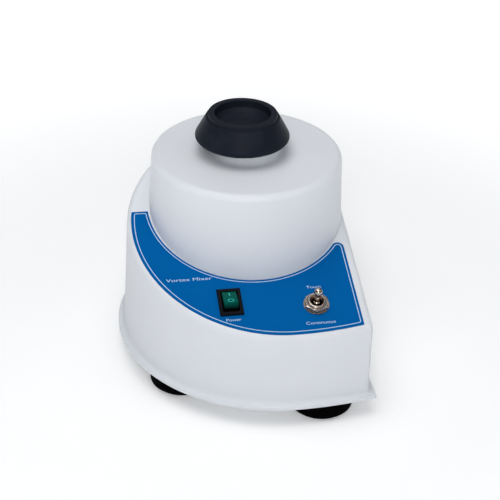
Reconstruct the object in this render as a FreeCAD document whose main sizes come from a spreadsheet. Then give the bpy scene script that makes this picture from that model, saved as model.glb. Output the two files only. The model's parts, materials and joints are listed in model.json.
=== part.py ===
import FreeCAD, Part
import Sketcher
import math
import os
from FreeCAD import Placement, Rotation, Vector

# Vortex mixer for test tubes. A vertical motor on a sprung carriage turns a crank pin, and the
# pin swings a rubber cup in a small circle. Pressing the cup pushes the whole carriage down
# onto a microswitch.
#
# Frame: Z is up, Z = 0 is the surface that the feet stand on, and X = Y = 0 is the middle of
# the base flange. The controls face -Y. Millimetres.

doc = FreeCAD.newDocument("vortex_mixer")
sheet = doc.addObject("Spreadsheet::Sheet", "Sizes")

SIZES = [
    # The outer form of the housing
    ("axis_x", 10.0, "motor axis, X"),
    ("axis_y", 15.0, "motor axis, Y"),
    ("drum_top", 138.0, "height of the drum's flat top"),
    ("drum_radius", 63.0, "drum radius at its top"),
    ("drum_draft", 3.0, "drum draft, degrees"),
    ("drum_fillet", 4.2, "rounding of the drum's top edge"),
    ("collar_radius", 22.6, "collar outside radius"),
    ("collar_rise", 8.0, "collar height above the drum"),
    ("collar_bore", 16.6, "radius of the hole through the collar"),
    ("base_bottom", 13.8, "underside of the flange"),
    ("sweep_x", 26.0, "centre of the base's large arc, X"),
    ("sweep_radius", 101.5, "large arc of the base, at the flange"),
    ("front_radius", 270.0, "flatter arc along the front"),
    ("right_side", 75.5, "X of the flat right wall"),
    ("corner_radius", 40.0, "rounded corner at the back right"),
    ("wall_draft", 2.94, "draft of the curved walls, degrees"),
    ("slope", 15.6, "slope of the control face, degrees"),
    ("slope_height", 92.8, "height of the control face at Y = 0"),
    ("flange_width", 4.0, "flange overhang"),
    ("flange_height", 2.4, "flange thickness"),
    ("wall", 2.8, "housing wall"),
    ("overlay_gap", 3.6, "radial gap between the drum and the overlay"),
    ("overlay_margin", 2.9, "margin between the overlay and the wall"),
    ("overlay_sheet", 0.4, "overlay thickness"),
    ("plate", 2.5, "base plate thickness"),
    # Controls
    ("rocker_x", -12.1, "rocker switch, X"),
    ("rocker_y", -68.1, "rocker switch, Y"),
    ("rocker_wide", 15.0, "rocker bezel, across"),
    ("rocker_long", 21.0, "rocker bezel, along the slope"),
    ("rocker_deep", 16.0, "rocker body depth"),
    ("button_wide", 9.1, "rocker button, across"),
    ("button_half", 6.6, "half the length of the button's flat top"),
    ("button_rise", 5.2, "button's top above its pivot"),
    ("button_tilt", 20.0, "tilt of the button at rest, degrees"),
    ("toggle_x", 42.1, "toggle switch, X"),
    ("toggle_y", -74.3, "toggle switch, Y"),
    ("toggle_bush", 5.9, "toggle bushing radius"),
    ("toggle_lean", 12.5, "lean of the lever at rest, degrees"),
    ("toggle_twist", 18.0, "turn of the switch in its hole, degrees"),
    ("toggle_reach", 12.0, "lever pivot to the middle of its ball"),
    ("washer_radius", 8.3, "toggle washer radius"),
    # Drive
    ("throw", 3.25, "offset of the crank pin from the motor axis"),
    ("travel", 2.0, "press travel of the carriage"),
    ("post_ring", 50.0, "radius of the ring of guide posts"),
    ("post_radius", 3.0, "guide post radius"),
    ("carrier_level", 38.0, "underside of the carrier plate"),
    ("carrier_sheet", 2.5, "carrier plate thickness"),
    ("motor_radius", 39.0, "motor outside radius"),
    ("stack", 30.0, "height of the stator stack"),
    ("bell", 17.5, "height of each end bell"),
    ("shaft_radius", 4.0, "motor shaft radius"),
    ("rotor_radius", 21.6, "rotor radius"),
    ("bore_radius", 22.0, "stator bore radius"),
    ("pin_radius", 3.0, "crank pin radius"),
    ("bearing_outer", 11.0, "motor bearing outside radius"),
    ("bearing_width", 7.0, "motor bearing width"),
    ("head_outer", 9.5, "head bearing outside radius"),
    ("head_width", 6.0, "head bearing width"),
    ("head_disc", 22.0, "radius of the carrier disc under the cup"),
    # Cup, heights above the drum's top
    ("cup_top", 27.2, "cup rim above the drum"),
    ("cup_bottom", 9.5, "cup's lower edge above the drum"),
    ("cup_widest", 31.1, "cup's largest radius"),
    ("cup_rim", 23.35, "rim outside radius"),
    ("cup_mouth", 18.2, "mouth radius"),
    # Feet
    ("foot_radius", 21.3, "foot's largest radius"),
    # Mains inlet
    ("inlet_level", 42.0, "height of the inlet's middle"),
    ("land_y", 96.5, "flat land that the inlet sits on"),
]

for row, (alias, number, note) in enumerate(SIZES, 1):
    sheet.set(f"A{row}", alias)
    sheet.set(f"B{row}", str(number))
    sheet.set(f"C{row}", note)
    sheet.setAlias(f"B{row}", alias)
doc.recompute()


class Dim:
    """A size that carries its number and the sheet expression that it comes from."""

    def __init__(self, number, text=None):
        self.number = float(number)
        self.text = text if text else repr(round(float(number), 6))

    def join(self, other, sign, flip=False):
        other = dim(other)
        a, b = (other, self) if flip else (self, other)
        number = {"+": lambda: a.number + b.number, "-": lambda: a.number - b.number,
                  "*": lambda: a.number * b.number, "/": lambda: a.number / b.number}[sign]()
        return Dim(number, f"({a.text} {sign} {b.text})")

    def __add__(self, other):
        return self.join(other, "+")

    def __radd__(self, other):
        return self.join(other, "+", True)

    def __sub__(self, other):
        return self.join(other, "-")

    def __rsub__(self, other):
        return self.join(other, "-", True)

    def __mul__(self, other):
        return self.join(other, "*")

    def __rmul__(self, other):
        return self.join(other, "*", True)

    def __truediv__(self, other):
        return self.join(other, "/")

    def __neg__(self):
        return 0 - self


def dim(value):
    return value if isinstance(value, Dim) else Dim(value)


def tangent(angle):
    return Dim(math.tan(math.radians(angle.number)), f"tan({angle.text} * 1 deg)")


class Sheet:
    """Sizes by name, each as a Dim bound to its cell."""

    def __getattr__(self, alias):
        return Dim(sheet.get(alias), f"Sizes.{alias}")


S = Sheet()
nodes = {}


def bind(thing, prop, size):
    """Set a property from a Dim, by expression."""
    thing.setExpression(prop, dim(size).text)


def keep(name, thing):
    """Record a finished sub-part under its node name."""
    thing.Label = name
    nodes[name] = thing
    return thing


def place(thing, x=0, y=0, z=0, turn=None):
    """Give an object its place, with the three offsets bound to the sheet."""
    thing.Placement = Placement(Vector(dim(x).number, dim(y).number, dim(z).number),
                                turn if turn else Rotation())
    for axis, size in zip("xyz", (x, y, z)):
        bind(thing, f"Placement.Base.{axis}", size)
    return thing


def new_body(name):
    body = doc.addObject("PartDesign::Body", name)
    body.Label = name
    return body


def new_sketch(body, role, level=0):
    """A sketch on one of the body's own origin planes, lifted by level."""
    sketch = body.newObject("Sketcher::SketchObject", body.Name + "_sketch")
    plane = next(f for f in body.Origin.OriginFeatures if f.Role == role)
    sketch.AttachmentSupport = (plane, "")
    sketch.MapMode = "FlatFace"
    bind(sketch, "AttachmentOffset.Base.z", level)
    return sketch


def fix_point(sketch, edge, end, x, y):
    """Hold one end of a sketch edge at x, y from the sketch's origin."""
    for kind, size in (("DistanceX", x), ("DistanceY", y)):
        index = sketch.addConstraint(Sketcher.Constraint(kind, edge, end, dim(size).number))
        bind(sketch, f"Constraints[{index}]", size)


def draw_loop(sketch, points):
    """A closed loop of straight edges through the points."""
    corners = [Vector(dim(x).number, dim(y).number, 0) for x, y in points]
    first = sketch.GeometryCount
    count = len(points)
    for n in range(count):
        sketch.addGeometry(Part.LineSegment(corners[n], corners[(n + 1) % count]), False)
    for n in range(count):
        after = first + (n + 1) % count
        sketch.addConstraint(Sketcher.Constraint("Coincident", first + n, 2, after, 1))
    for n, (x, y) in enumerate(points):
        fix_point(sketch, first + n, 1, x, y)


def draw_circle(sketch, x, y, radius):
    centre = Vector(dim(x).number, dim(y).number, 0)
    circle = Part.Circle(centre, Vector(0, 0, 1), dim(radius).number)
    edge = sketch.addGeometry(circle, False)
    fix_point(sketch, edge, 3, x, y)
    index = sketch.addConstraint(Sketcher.Constraint("Radius", edge, dim(radius).number))
    bind(sketch, f"Constraints[{index}]", radius)


def turned(name, profile, body=None):
    """A body of revolution about its own Z axis, from an outline of radius and height pairs."""
    body = body or new_body(name)
    sketch = new_sketch(body, "XZ_Plane")
    draw_loop(sketch, profile)
    turn = body.newObject("PartDesign::Revolution", body.Name + "_turn")
    turn.Profile = sketch
    turn.ReferenceAxis = (sketch, ["V_Axis"])
    turn.Angle = 360
    return body


def tube(name, inner, outer, low, high):
    """A straight ring, or a plain round bar where inner is 0."""
    return turned(name, [(inner, low), (outer, low), (outer, high), (inner, high)])


def pad(body, sketch, height):
    solid = body.newObject("PartDesign::Pad", body.Name + "_pad")
    solid.Profile = sketch
    bind(solid, "Length", height)
    return solid


def block(name, x, y, z, wide, deep, tall):
    """A rectangular block with its middle at x, y and its underside at z."""
    body = new_body(name)
    sketch = new_sketch(body, "XY_Plane", z)
    left, front = x - dim(wide) / 2, y - dim(deep) / 2
    right, back = left + wide, front + deep
    draw_loop(sketch, [(left, front), (right, front), (right, back), (left, back)])
    pad(body, sketch, tall)
    return body


def round_edges(body, radius, chosen, kind="Fillet"):
    """Round or bevel the edges of the body's tip that the test picks."""
    doc.recompute()
    tip = body.Tip
    names = [f"Edge{n}" for n, edge in enumerate(tip.Shape.Edges, 1) if chosen(edge)]
    feature = body.newObject(f"PartDesign::{kind}", body.Name + "_" + kind.lower())
    feature.Base = (tip, names)
    bind(feature, "Radius" if kind == "Fillet" else "Size", radius)
    doc.recompute()
    return feature


def upright(edge):
    """True for a straight edge that runs along Z."""
    ends = [v.Point for v in edge.Vertexes]
    return len(ends) == 2 and abs(ends[0].z - ends[1].z) > 0.5 and ends[0].distanceToPoint(
        Vector(ends[1].x, ends[1].y, ends[0].z)) < 1e-4


def circle_at(level, radius=None):
    """Test for a round edge at a height, and of a radius where one is given."""
    def test(edge):
        if edge.Curve.TypeId != "Part::GeomCircle":
            return False
        same = radius is None or abs(edge.Curve.Radius - dim(radius).number) < 0.01
        return same and abs(edge.Curve.Center.z - dim(level).number) < 0.01
    return test


def cut(name, base, tools):
    """The base with every tool taken out of it."""
    for n, tool in enumerate(tools):
        result = doc.addObject("Part::Cut", f"{name}_cut{n}")
        result.Base, result.Tool = base, tool
        base = result
    return base


def fuse(name, shapes):
    result = doc.addObject("Part::MultiFuse", f"{name}_fuse")
    result.Shapes = shapes
    result.Refine = True
    return result


def copies(name, master, spots):
    """One node of equal, separate solids: the master's shape set at each placement."""
    doc.recompute()
    shapes = []
    for spot in spots:
        shape = master.Shape.copy()
        shape.Placement = spot.multiply(shape.Placement)
        shapes.append(shape)
    group = doc.addObject("Part::Feature", name)
    group.Shape = Part.makeCompound(shapes)
    group.Placement = Placement()
    return keep(name, group)


def at(x, y, z=0):
    return Placement(Vector(dim(x).number, dim(y).number, dim(z).number), Rotation())


# --- Levels and places worked out from the sheet ---------------------------------------------

lean = Rotation(Vector(1, 0, 0), S.slope.number)
tan_slope = tangent(S.slope)
base_top = S.base_bottom + S.plate
carrier_top = S.carrier_level + S.carrier_sheet
stack_bottom = carrier_top + S.bell
stack_top = stack_bottom + S.stack
bell_top = stack_top + S.bell
disc_bottom = S.drum_top + 11.5
disc_top = disc_bottom + 3
pin_x = S.axis_x - S.throw


def on_panel(x, y, lift=0):
    """A placement on the sloped face: local Z is the face's normal, local Y runs up the slope."""
    height = S.slope_height + dim(y) * tan_slope
    normal = lean.multVec(Vector(0, 0, lift))
    return Placement(Vector(dim(x).number, dim(y).number, height.number) + normal, lean)


def set_on_panel(thing, x, y):
    place(thing, x, y, S.slope_height + dim(y) * tan_slope, lean)
    return thing


def on_axis(name, thing, x=S.axis_x):
    return keep(name, place(thing, x, S.axis_y))


# --- Upper housing: one moulding ---------------------------------------------------------------

def footprint(sketch, grow, side_grow, back_grow=0):
    """The base outline: large arc, flatter front arc, flat right side, rounded back corner."""
    sweep, front = S.sweep_radius + grow, S.front_radius + grow
    side, corner = S.right_side + side_grow, S.corner_radius + side_grow + back_grow
    cx, front_cy = S.sweep_x.number, (S.front_radius - S.sweep_radius).number
    run = side.number - corner.number - cx
    rise = math.sqrt((sweep.number - corner.number) ** 2 - run ** 2)
    turn = math.atan2(rise, run)
    tip_angle = -math.acos((side.number - cx) / front.number)
    z = Vector(0, 0, 1)

    def arc(x, y, radius, start, end):
        return Part.ArcOfCircle(Part.Circle(Vector(x, y, 0), z, radius), start, end)

    big = sketch.addGeometry(arc(cx, 0, sweep.number, turn, 1.5 * math.pi), False)
    low = sketch.addGeometry(arc(cx, front_cy, front.number, 1.5 * math.pi, 2 * math.pi + tip_angle), False)
    tip_y = front_cy + front.number * math.sin(tip_angle)
    line = Part.LineSegment(Vector(side.number, tip_y, 0), Vector(side.number, rise, 0))
    flat = sketch.addGeometry(line, False)
    bend = sketch.addGeometry(arc(cx + run, rise, corner.number, 0, turn), False)
    fix_point(sketch, big, 3, S.sweep_x, 0)
    for edge, radius in ((big, sweep), (low, front), (bend, corner)):
        index = sketch.addConstraint(Sketcher.Constraint("Radius", edge, radius.number))
        bind(sketch, f"Constraints[{index}]", radius)
    sketch.addConstraint(Sketcher.Constraint("Tangent", big, 2, low, 1))
    index = sketch.addConstraint(Sketcher.Constraint("DistanceX", low, 1, cx))
    bind(sketch, f"Constraints[{index}]", S.sweep_x)
    sketch.addConstraint(Sketcher.Constraint("Coincident", low, 2, flat, 1))
    sketch.addConstraint(Sketcher.Constraint("Vertical", flat))
    index = sketch.addConstraint(Sketcher.Constraint("DistanceX", flat, 1, side.number))
    bind(sketch, f"Constraints[{index}]", side)
    sketch.addConstraint(Sketcher.Constraint("Tangent", flat, 2, bend, 1))
    sketch.addConstraint(Sketcher.Constraint("Tangent", bend, 2, big, 1))


def housing_form(name, inset, hollow):
    """The housing's outside, or its hollow where inset is the wall."""
    body = new_body(name)
    rise = 112.0
    shrink = tangent(S.wall_draft) * rise
    if not hollow:
        rim = new_sketch(body, "XY_Plane", S.base_bottom)
        footprint(rim, S.flange_width, S.flange_width)
        pad(body, rim, S.flange_height)
    low = new_sketch(body, "XY_Plane", S.base_bottom)
    footprint(low, -inset, -inset)
    high = new_sketch(body, "XY_Plane", S.base_bottom + rise)
    footprint(high, -inset - shrink, -inset, -shrink)
    loft = body.newObject("PartDesign::AdditiveLoft", name + "_walls")
    loft.Profile = low
    loft.Sections = [high]
    loft.Ruled = True
    slope = new_sketch(body, "YZ_Plane")
    reach = 150
    drop = inset / Dim(math.cos(math.radians(S.slope.number)), f"cos({S.slope.text} * 1 deg)")
    start = S.slope_height - drop
    draw_loop(slope, [(-reach, start - tan_slope * reach), (reach, start + tan_slope * reach),
                      (reach, start + 150), (-reach, start + 150)])
    pocket = body.newObject("PartDesign::Pocket", name + "_slope")
    pocket.Profile = slope
    pocket.Midplane = True
    pocket.Length = 400
    doc.recompute()
    if not hollow:
        tip = Vector(S.right_side.number, -S.sweep_radius.number, 0)

        def front_corner(edge):
            ends = [v.Point for v in edge.Vertexes]
            near = all(abs(p.x - tip.x) < 1 and p.y < -80 for p in ends)
            return len(ends) == 2 and near and abs(ends[0].z - ends[1].z) > 20

        round_edges(body, 3.6, front_corner)

        def top_edge(edge):
            points = edge.discretize(5)
            return all(abs(p.z - (S.slope_height + p.y * tan_slope).number) < 0.02 for p in points)

        round_edges(body, 3.4, top_edge)
        flange_top = S.base_bottom + S.flange_height
        round_edges(body, 3.0, lambda edge: at_flange(edge, flange_top, False))
        round_edges(body, 0.9, lambda edge: at_flange(edge, flange_top, True))
    return body


def at_flange(edge, level, outside):
    """True for an edge of the flange's top: its outer rim, or its inner edge along the walls."""
    spots = [v.Point for v in edge.Vertexes]
    front_y = (S.front_radius - S.sweep_radius).number

    def beyond(p):
        return max(math.hypot(p.x - S.sweep_x.number, p.y) - S.sweep_radius.number,
                   math.hypot(p.x - S.sweep_x.number, p.y - front_y) - S.front_radius.number,
                   p.x - S.right_side.number)

    level_ok = all(abs(p.z - level.number) < 0.01 for p in spots)
    return level_ok and all((beyond(p) > 2) == outside for p in spots)


def drum_form(name, inset, hollow):
    """The drum and collar, or the hollow inside them."""
    radius, top, foot = S.drum_radius - inset, S.drum_top - inset, 66
    flare = tangent(S.drum_draft) * (foot - inset)
    wide = radius + flare
    if hollow:
        return turned(name, [(0, S.drum_top - foot), (wide, S.drum_top - foot), (radius, top),
                             (S.collar_bore, top), (S.collar_bore, S.drum_top + 20), (0, S.drum_top + 20)])
    body = turned(name, [(0, S.drum_top - foot), (wide, S.drum_top - foot), (radius, top),
                         (S.collar_radius, top), (S.collar_radius, top + S.collar_rise),
                         (0, top + S.collar_rise)])
    round_edges(body, S.drum_fillet, circle_at(top, radius))
    round_edges(body, 2.2, circle_at(top, S.collar_radius))
    round_edges(body, 1.2, circle_at(top + S.collar_rise, S.collar_radius))
    return body


def trimmed(name, walls, drum, inset):
    """Walls and drum as one form, cut flush along the flat right side."""
    joined = fuse(name, [walls, place(drum, S.axis_x, S.axis_y)])
    trim = block(name + "_trim", S.right_side - inset + 20, 0, 60, 40, 300, 190)
    return cut(name + "_flush", joined, [trim])


outer_form = trimmed("outer_form", housing_form("outer_walls", dim(0), False),
                     drum_form("outer_drum", dim(0), False), dim(0))
inner_form = trimmed("inner_form", housing_form("inner_walls", S.wall, True),
                     drum_form("inner_drum", S.wall, True), S.wall)


def drill(body, spots, radius, high, deep):
    """Round holes at the spots, from a level down."""
    before = body.Tip
    sketch = new_sketch(body, "XY_Plane", high)
    for x, y in spots:
        draw_circle(sketch, x, y, radius)
    pocket = body.newObject("PartDesign::Pocket", body.Name + "_holes")
    pocket.Profile = sketch
    bind(pocket, "Length", deep)
    doc.recompute()
    assert pocket.Shape.Volume < before.Shape.Volume - 1, body.Label
    return body


def ring_spots(radius, count, start=0):
    """Evenly spaced spots on a ring about the local origin."""
    spots = []
    for n in range(count):
        angle = math.radians(start + 360 * n / count)
        spots.append((radius * round(math.cos(angle), 6), radius * round(math.sin(angle), 6)))
    return spots


post_spots = [(S.axis_x + x, S.axis_y + y) for x, y in ring_spots(S.post_ring, 4, 45)]
bolt_ring = ring_spots(dim(35.5), 4, 45)
foot_spots = [(-40.5, -46.7), (46.8, -82.0), (-38.0, 52.0), (44.0, 66.0)]
boss_reach = S.sweep_radius - 7.5
boss_spots = [(S.sweep_x + boss_reach * round(math.cos(math.radians(a)), 6),
               boss_reach * round(math.sin(math.radians(a)), 6)) for a in (118, 165, 195, 238)]
boss_spots += [(S.right_side - 6, -35), (S.right_side - 6, 20)]
boss_top = 45


def hex_block(name, across, low, tall, start=15):
    """A hexagonal nut blank, across its corners, before its hole, first corner at start degrees."""
    body = new_body(name)
    sketch = new_sketch(body, "XY_Plane", low)
    draw_loop(sketch, ring_spots(across / 2, 6, start))
    pad(body, sketch, tall)
    return body


def make_housing():
    """Bosses and the inlet's land are left standing in the hollow, then the openings are cut."""
    standing = [block("inlet_land", S.sweep_x, S.land_y + 4.5, S.inlet_level - 23, 40, 20, 46)]
    pilots = []
    for n, (x, y) in enumerate(boss_spots):
        standing.append(place(tube(f"boss{n}", 0, 5.2, base_top, boss_top), x, y))
        pilots.append(place(tube(f"pilot{n}", 0, 1.6, base_top - 1, boss_top - 8), x, y))
    hollow = cut("hollow", inner_form, standing)
    recess = block("inlet_recess", S.sweep_x, S.land_y + 12, S.inlet_level - 20, 33, 24, 40)
    window = block("inlet_window", S.sweep_x, S.land_y, S.inlet_level - 17.2, 27.4, 24, 34.4)
    rocker_hole = block("rocker_hole", 0, 0, -8, 13.2, 19.2, 16)
    toggle_hole = tube("toggle_hole", 0, S.toggle_bush + 0.15, -8, 8)
    set_on_panel(rocker_hole, S.rocker_x, S.rocker_y)
    set_on_panel(toggle_hole, S.toggle_x, S.toggle_y)
    openings = [recess, window, rocker_hole, toggle_hole]
    keep("upper_housing", cut("housing", outer_form, [hollow] + pilots + openings))


def make_overlay():
    """Printed sheet on the sloped face, cut round the drum."""
    body = new_body("overlay_prism")
    sketch = new_sketch(body, "XY_Plane")
    reach, low = S.sweep_radius - 6.8, S.front_radius - 20
    cx, cy, side, back = S.sweep_x, dim(-1.2), S.right_side - 6.0, S.axis_y - 2.3
    left_angle = math.pi - math.asin((back - cy).number / reach.number)
    low_cy = cy - reach + low
    tip = -math.acos((side - cx).number / low.number)
    z = Vector(0, 0, 1)
    left_x = cx.number + reach.number * math.cos(left_angle)
    tip_y = low_cy.number + low.number * math.sin(tip)
    big = sketch.addGeometry(Part.ArcOfCircle(
        Part.Circle(Vector(cx.number, cy.number, 0), z, reach.number), left_angle, 1.5 * math.pi), False)
    flat = sketch.addGeometry(Part.ArcOfCircle(
        Part.Circle(Vector(cx.number, low_cy.number, 0), z, low.number),
        1.5 * math.pi, 2 * math.pi + tip), False)
    corners = [(side.number, tip_y), (side.number, back.number), (left_x, back.number)]
    for a, b in zip(corners, corners[1:]):
        sketch.addGeometry(Part.LineSegment(Vector(*a, 0), Vector(*b, 0)), False)
    fix_point(sketch, big, 3, cx, cy)
    for edge, radius in ((big, reach), (flat, low)):
        index = sketch.addConstraint(Sketcher.Constraint("Radius", edge, radius.number))
        bind(sketch, f"Constraints[{index}]", radius)
    sketch.addConstraint(Sketcher.Constraint("Tangent", big, 2, flat, 1))
    index = sketch.addConstraint(Sketcher.Constraint("DistanceX", flat, 1, cx.number))
    bind(sketch, f"Constraints[{index}]", cx)
    for edge, end, after, start in ((flat, 2, 2, 1), (2, 2, 3, 1), (3, 2, big, 1)):
        sketch.addConstraint(Sketcher.Constraint("Coincident", edge, end, after, start))
    sketch.addConstraint(Sketcher.Constraint("Vertical", 2))
    sketch.addConstraint(Sketcher.Constraint("Horizontal", 3))
    fix_point(sketch, 3, 1, side, back)
    pad(body, sketch, 130)
    drill(body, [(S.axis_x, S.axis_y)], S.drum_radius + S.overlay_gap, 130, 130)

    def near(x, y):
        return lambda edge: upright(edge) and math.hypot(edge.Vertexes[0].X - x, edge.Vertexes[0].Y - y) < 4

    round_edges(body, 4.0, near(side.number, -14.5))
    round_edges(body, 0.8, lambda edge: upright(edge) and not near(side.number, -18)(edge)
                and abs(edge.Vertexes[0].Y + 95.9) > 5)
    slab = block("overlay_slab", 0, 0, 0, 200, 260, S.overlay_sheet)
    place(slab, 0, 0, S.slope_height, lean)
    common = doc.addObject("Part::Common", "overlay_common")
    common.Base, common.Tool = body, slab
    slot = block("overlay_slot", 0, 0, -4, S.rocker_wide - 1.8, S.rocker_long - 1.8, 8)
    hole = tube("overlay_hole", 0, S.toggle_bush + 0.15, -4, 4)
    set_on_panel(slot, S.rocker_x, S.rocker_y)
    set_on_panel(hole, S.toggle_x, S.toggle_y)
    keep("control_panel_overlay", cut("overlay", common, [slot, hole]))


def make_base():
    """Base plate with its vent slots, its screws, and the feet under it."""
    body = new_body("base_plate")
    sketch = new_sketch(body, "XY_Plane", S.base_bottom)
    footprint(sketch, -S.wall - 0.2, -S.wall - 0.2)
    pad(body, sketch, S.plate)
    drill(body, boss_spots, 2.1, base_top, S.plate)
    drill(body, foot_spots, 2.2, base_top, S.plate)
    drill(body, post_spots, 2.6, base_top, S.plate)
    slots = new_sketch(body, "XY_Plane", base_top)
    for n in range(7):
        x = S.axis_x + (n - 3) * 7
        draw_loop(slots, [(x - 1.5, S.axis_y - 22), (x + 1.5, S.axis_y - 22),
                          (x + 1.5, S.axis_y + 22), (x - 1.5, S.axis_y + 22)])
    pocket = body.newObject("PartDesign::Pocket", "base_plate_slots")
    pocket.Profile = slots
    bind(pocket, "Length", S.plate)
    keep("base_plate", body)
    low = S.base_bottom
    screw = turned("cover_screw_form", [(0, low - 2.2), (3.4, low - 2.2), (4, low - 1.2), (4, low),
                                        (1.55, low), (1.55, low + 14), (0.4, low + 16), (0, low + 16)])
    copies("base_plate_screws", screw, [at(x, y) for x, y in boss_spots])
    wide, waist, tread = S.foot_radius, S.foot_radius - 1.8, S.foot_radius - 2.6
    foot = turned("foot_form", [(2.2, 5.5), (5.6, 5.5), (5.6, 0.6), (12, 0.6), (15, 0), (tread, 0),
                                (wide, 2.6), (wide, 4.4), (waist, 8.6), (wide - 5.2, low), (2.2, low)])
    for level, reach, soft in ((4.4, wide, 2.5), (8.6, waist, 4.0), (0, tread, 1.0)):
        round_edges(foot, soft, circle_at(level, reach))
    names = ("foot_front_left", "foot_front_right", "foot_rear_left", "foot_rear_right")
    for name, (x, y) in zip(names, foot_spots):
        copies(name, foot, [at(x, y)])
    bolt = turned("foot_screw_form", [(0, 2.8), (3.6, 2.8), (4.4, 3.8), (4.4, 5.5), (1.95, 5.5),
                                      (1.95, 23.4), (1.5, 24), (0, 24)])
    copies("foot_screws", bolt, [at(x, y) for x, y in foot_spots])
    nut = drill(hex_block("foot_nut_form", dim(8), base_top, 3.2), [(0, 0)], 2.05, base_top + 3.2, 3.2)
    copies("foot_nuts", nut, [at(x, y) for x, y in foot_spots])


def make_rocker():
    """Lit rocker switch, built in the sloped face's own frame."""
    top = S.overlay_sheet + 1.7
    bezel = block("rocker_body", 0, 0, S.overlay_sheet, S.rocker_wide, S.rocker_long, 1.7)
    round_edges(bezel, 0.5, lambda edge: all(abs(v.Z - top.number) < 0.01 for v in edge.Vertexes))
    low = new_sketch(bezel, "XY_Plane", -S.rocker_deep)
    draw_loop(low, [(-6.4, -9.4), (6.4, -9.4), (6.4, 9.4), (-6.4, 9.4)])
    pad(bezel, low, S.rocker_deep + S.overlay_sheet)
    hole = new_sketch(bezel, "XY_Plane", top)
    draw_loop(hole, [(-5.45, -8.4), (5.45, -8.4), (5.45, 8.4), (-5.45, 8.4)])
    pocket = bezel.newObject("PartDesign::Pocket", "rocker_recess")
    pocket.Profile = hole
    bind(pocket, "Length", top + 8)
    keep("rocker_body", set_on_panel(bezel, S.rocker_x, S.rocker_y))
    lamp = block("rocker_lamp", 0, 0, -7.6, 7, 2.4, 2.4)
    round_edges(lamp, 0.8, lambda edge: abs(edge.Vertexes[0].X - edge.Vertexes[1].X) > 1)
    keep("rocker_lamp", set_on_panel(lamp, S.rocker_x, S.rocker_y))
    tab = block("rocker_tab_form", 0, 0, -S.rocker_deep - 8, 4.8, 0.8, 8)
    spots = [on_panel(S.rocker_x, S.rocker_y).multiply(at(0, y)) for y in (-6.5, 0, 6.5)]
    copies("rocker_terminals", tab, spots)
    cap = new_body("rocker_button")
    side = new_sketch(cap, "YZ_Plane", -S.button_wide / 2)
    half, rise = S.button_half, S.button_rise
    draw_loop(side, [(-half, 0.9), (-2.5, -3), (2.5, -3), (half, 0.9), (half, rise), (-half, rise)])
    pad(cap, side, S.button_wide)
    tilted = Rotation(Vector(1, 0, 0), -S.button_tilt.number)
    pivot = on_panel(S.rocker_x, S.rocker_y, -0.8)
    cap.Placement = Placement(pivot.Base, pivot.Rotation.multiply(tilted))
    keep("rocker_button", cap)


def make_toggle():
    """Toggle switch with a plated bushing, its switch turned a little about the bushing."""
    twist = Rotation(Vector(0, 0, 1), -S.toggle_twist.number)
    spot = on_panel(S.toggle_x, S.toggle_y)
    turned_spot = Placement(spot.Base, spot.Rotation.multiply(twist))
    washer_top = S.overlay_sheet + 0.8
    nut_top = washer_top + 2.5
    washer = tube("toggle_washer", S.toggle_bush + 0.1, S.washer_radius, S.overlay_sheet, washer_top)
    keep("toggle_washer", set_on_panel(washer, S.toggle_x, S.toggle_y))
    nut = hex_block("toggle_nut", dim(16.4), washer_top, 2.5, 21)
    drill(nut, [(0, 0)], S.toggle_bush + 0.05, nut_top, 2.5)
    keep("toggle_nut", set_on_panel(nut, S.toggle_x, S.toggle_y))
    lip = nut_top + 1.3
    bush = turned("toggle_bushing", [(4.0, -3), (S.toggle_bush, -3), (S.toggle_bush, lip - 0.8),
                                     (S.toggle_bush - 0.7, lip), (4.3, lip), (3.75, lip - 0.5),
                                     (3.75, lip - 1.4), (4.0, lip - 1.7)])
    keep("toggle_bushing", set_on_panel(bush, S.toggle_x, S.toggle_y))
    case = block("toggle_body", 0, 0, -24, 17, 27, 21)
    round_edges(case, 1.0, upright)
    drill(case, [(0, 0)], 5.5, -3, 7)
    case.Placement = turned_spot
    keep("toggle_body", case)
    tab = block("toggle_tab_form", 0, 0, -31, 1, 4.5, 7)
    spots = [turned_spot.multiply(at(x, y)) for x in (-4.5, 4.5) for y in (-9, 0, 9)]
    copies("toggle_terminals", tab, spots)
    tip = S.toggle_reach
    lever = turned("toggle_lever", [(0, -3.5), (1.4, -3.5), (2.6, -1.2), (3.0, 0), (2.6, 1.2), (1.8, 2.6),
                                    (1.8, tip - 4.3), (1.6, tip - 3), (1.85, tip - 1.8), (0, tip - 1.8)])
    ball = lever.newObject("PartDesign::AdditiveSphere", "toggle_ball")
    ball.Radius = 2.85
    ball.AttachmentSupport = (next(f for f in lever.Origin.OriginFeatures if f.Role == "XY_Plane"), "")
    ball.MapMode = "FlatFace"
    bind(ball, "AttachmentOffset.Base.z", tip)
    pivot = on_panel(S.toggle_x, S.toggle_y, -2)
    back = Rotation(Vector(1, 0, 0), -S.toggle_lean.number)
    lever.Placement = Placement(pivot.Base, pivot.Rotation.multiply(twist).multiply(back))
    keep("toggle_lever", lever)


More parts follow.
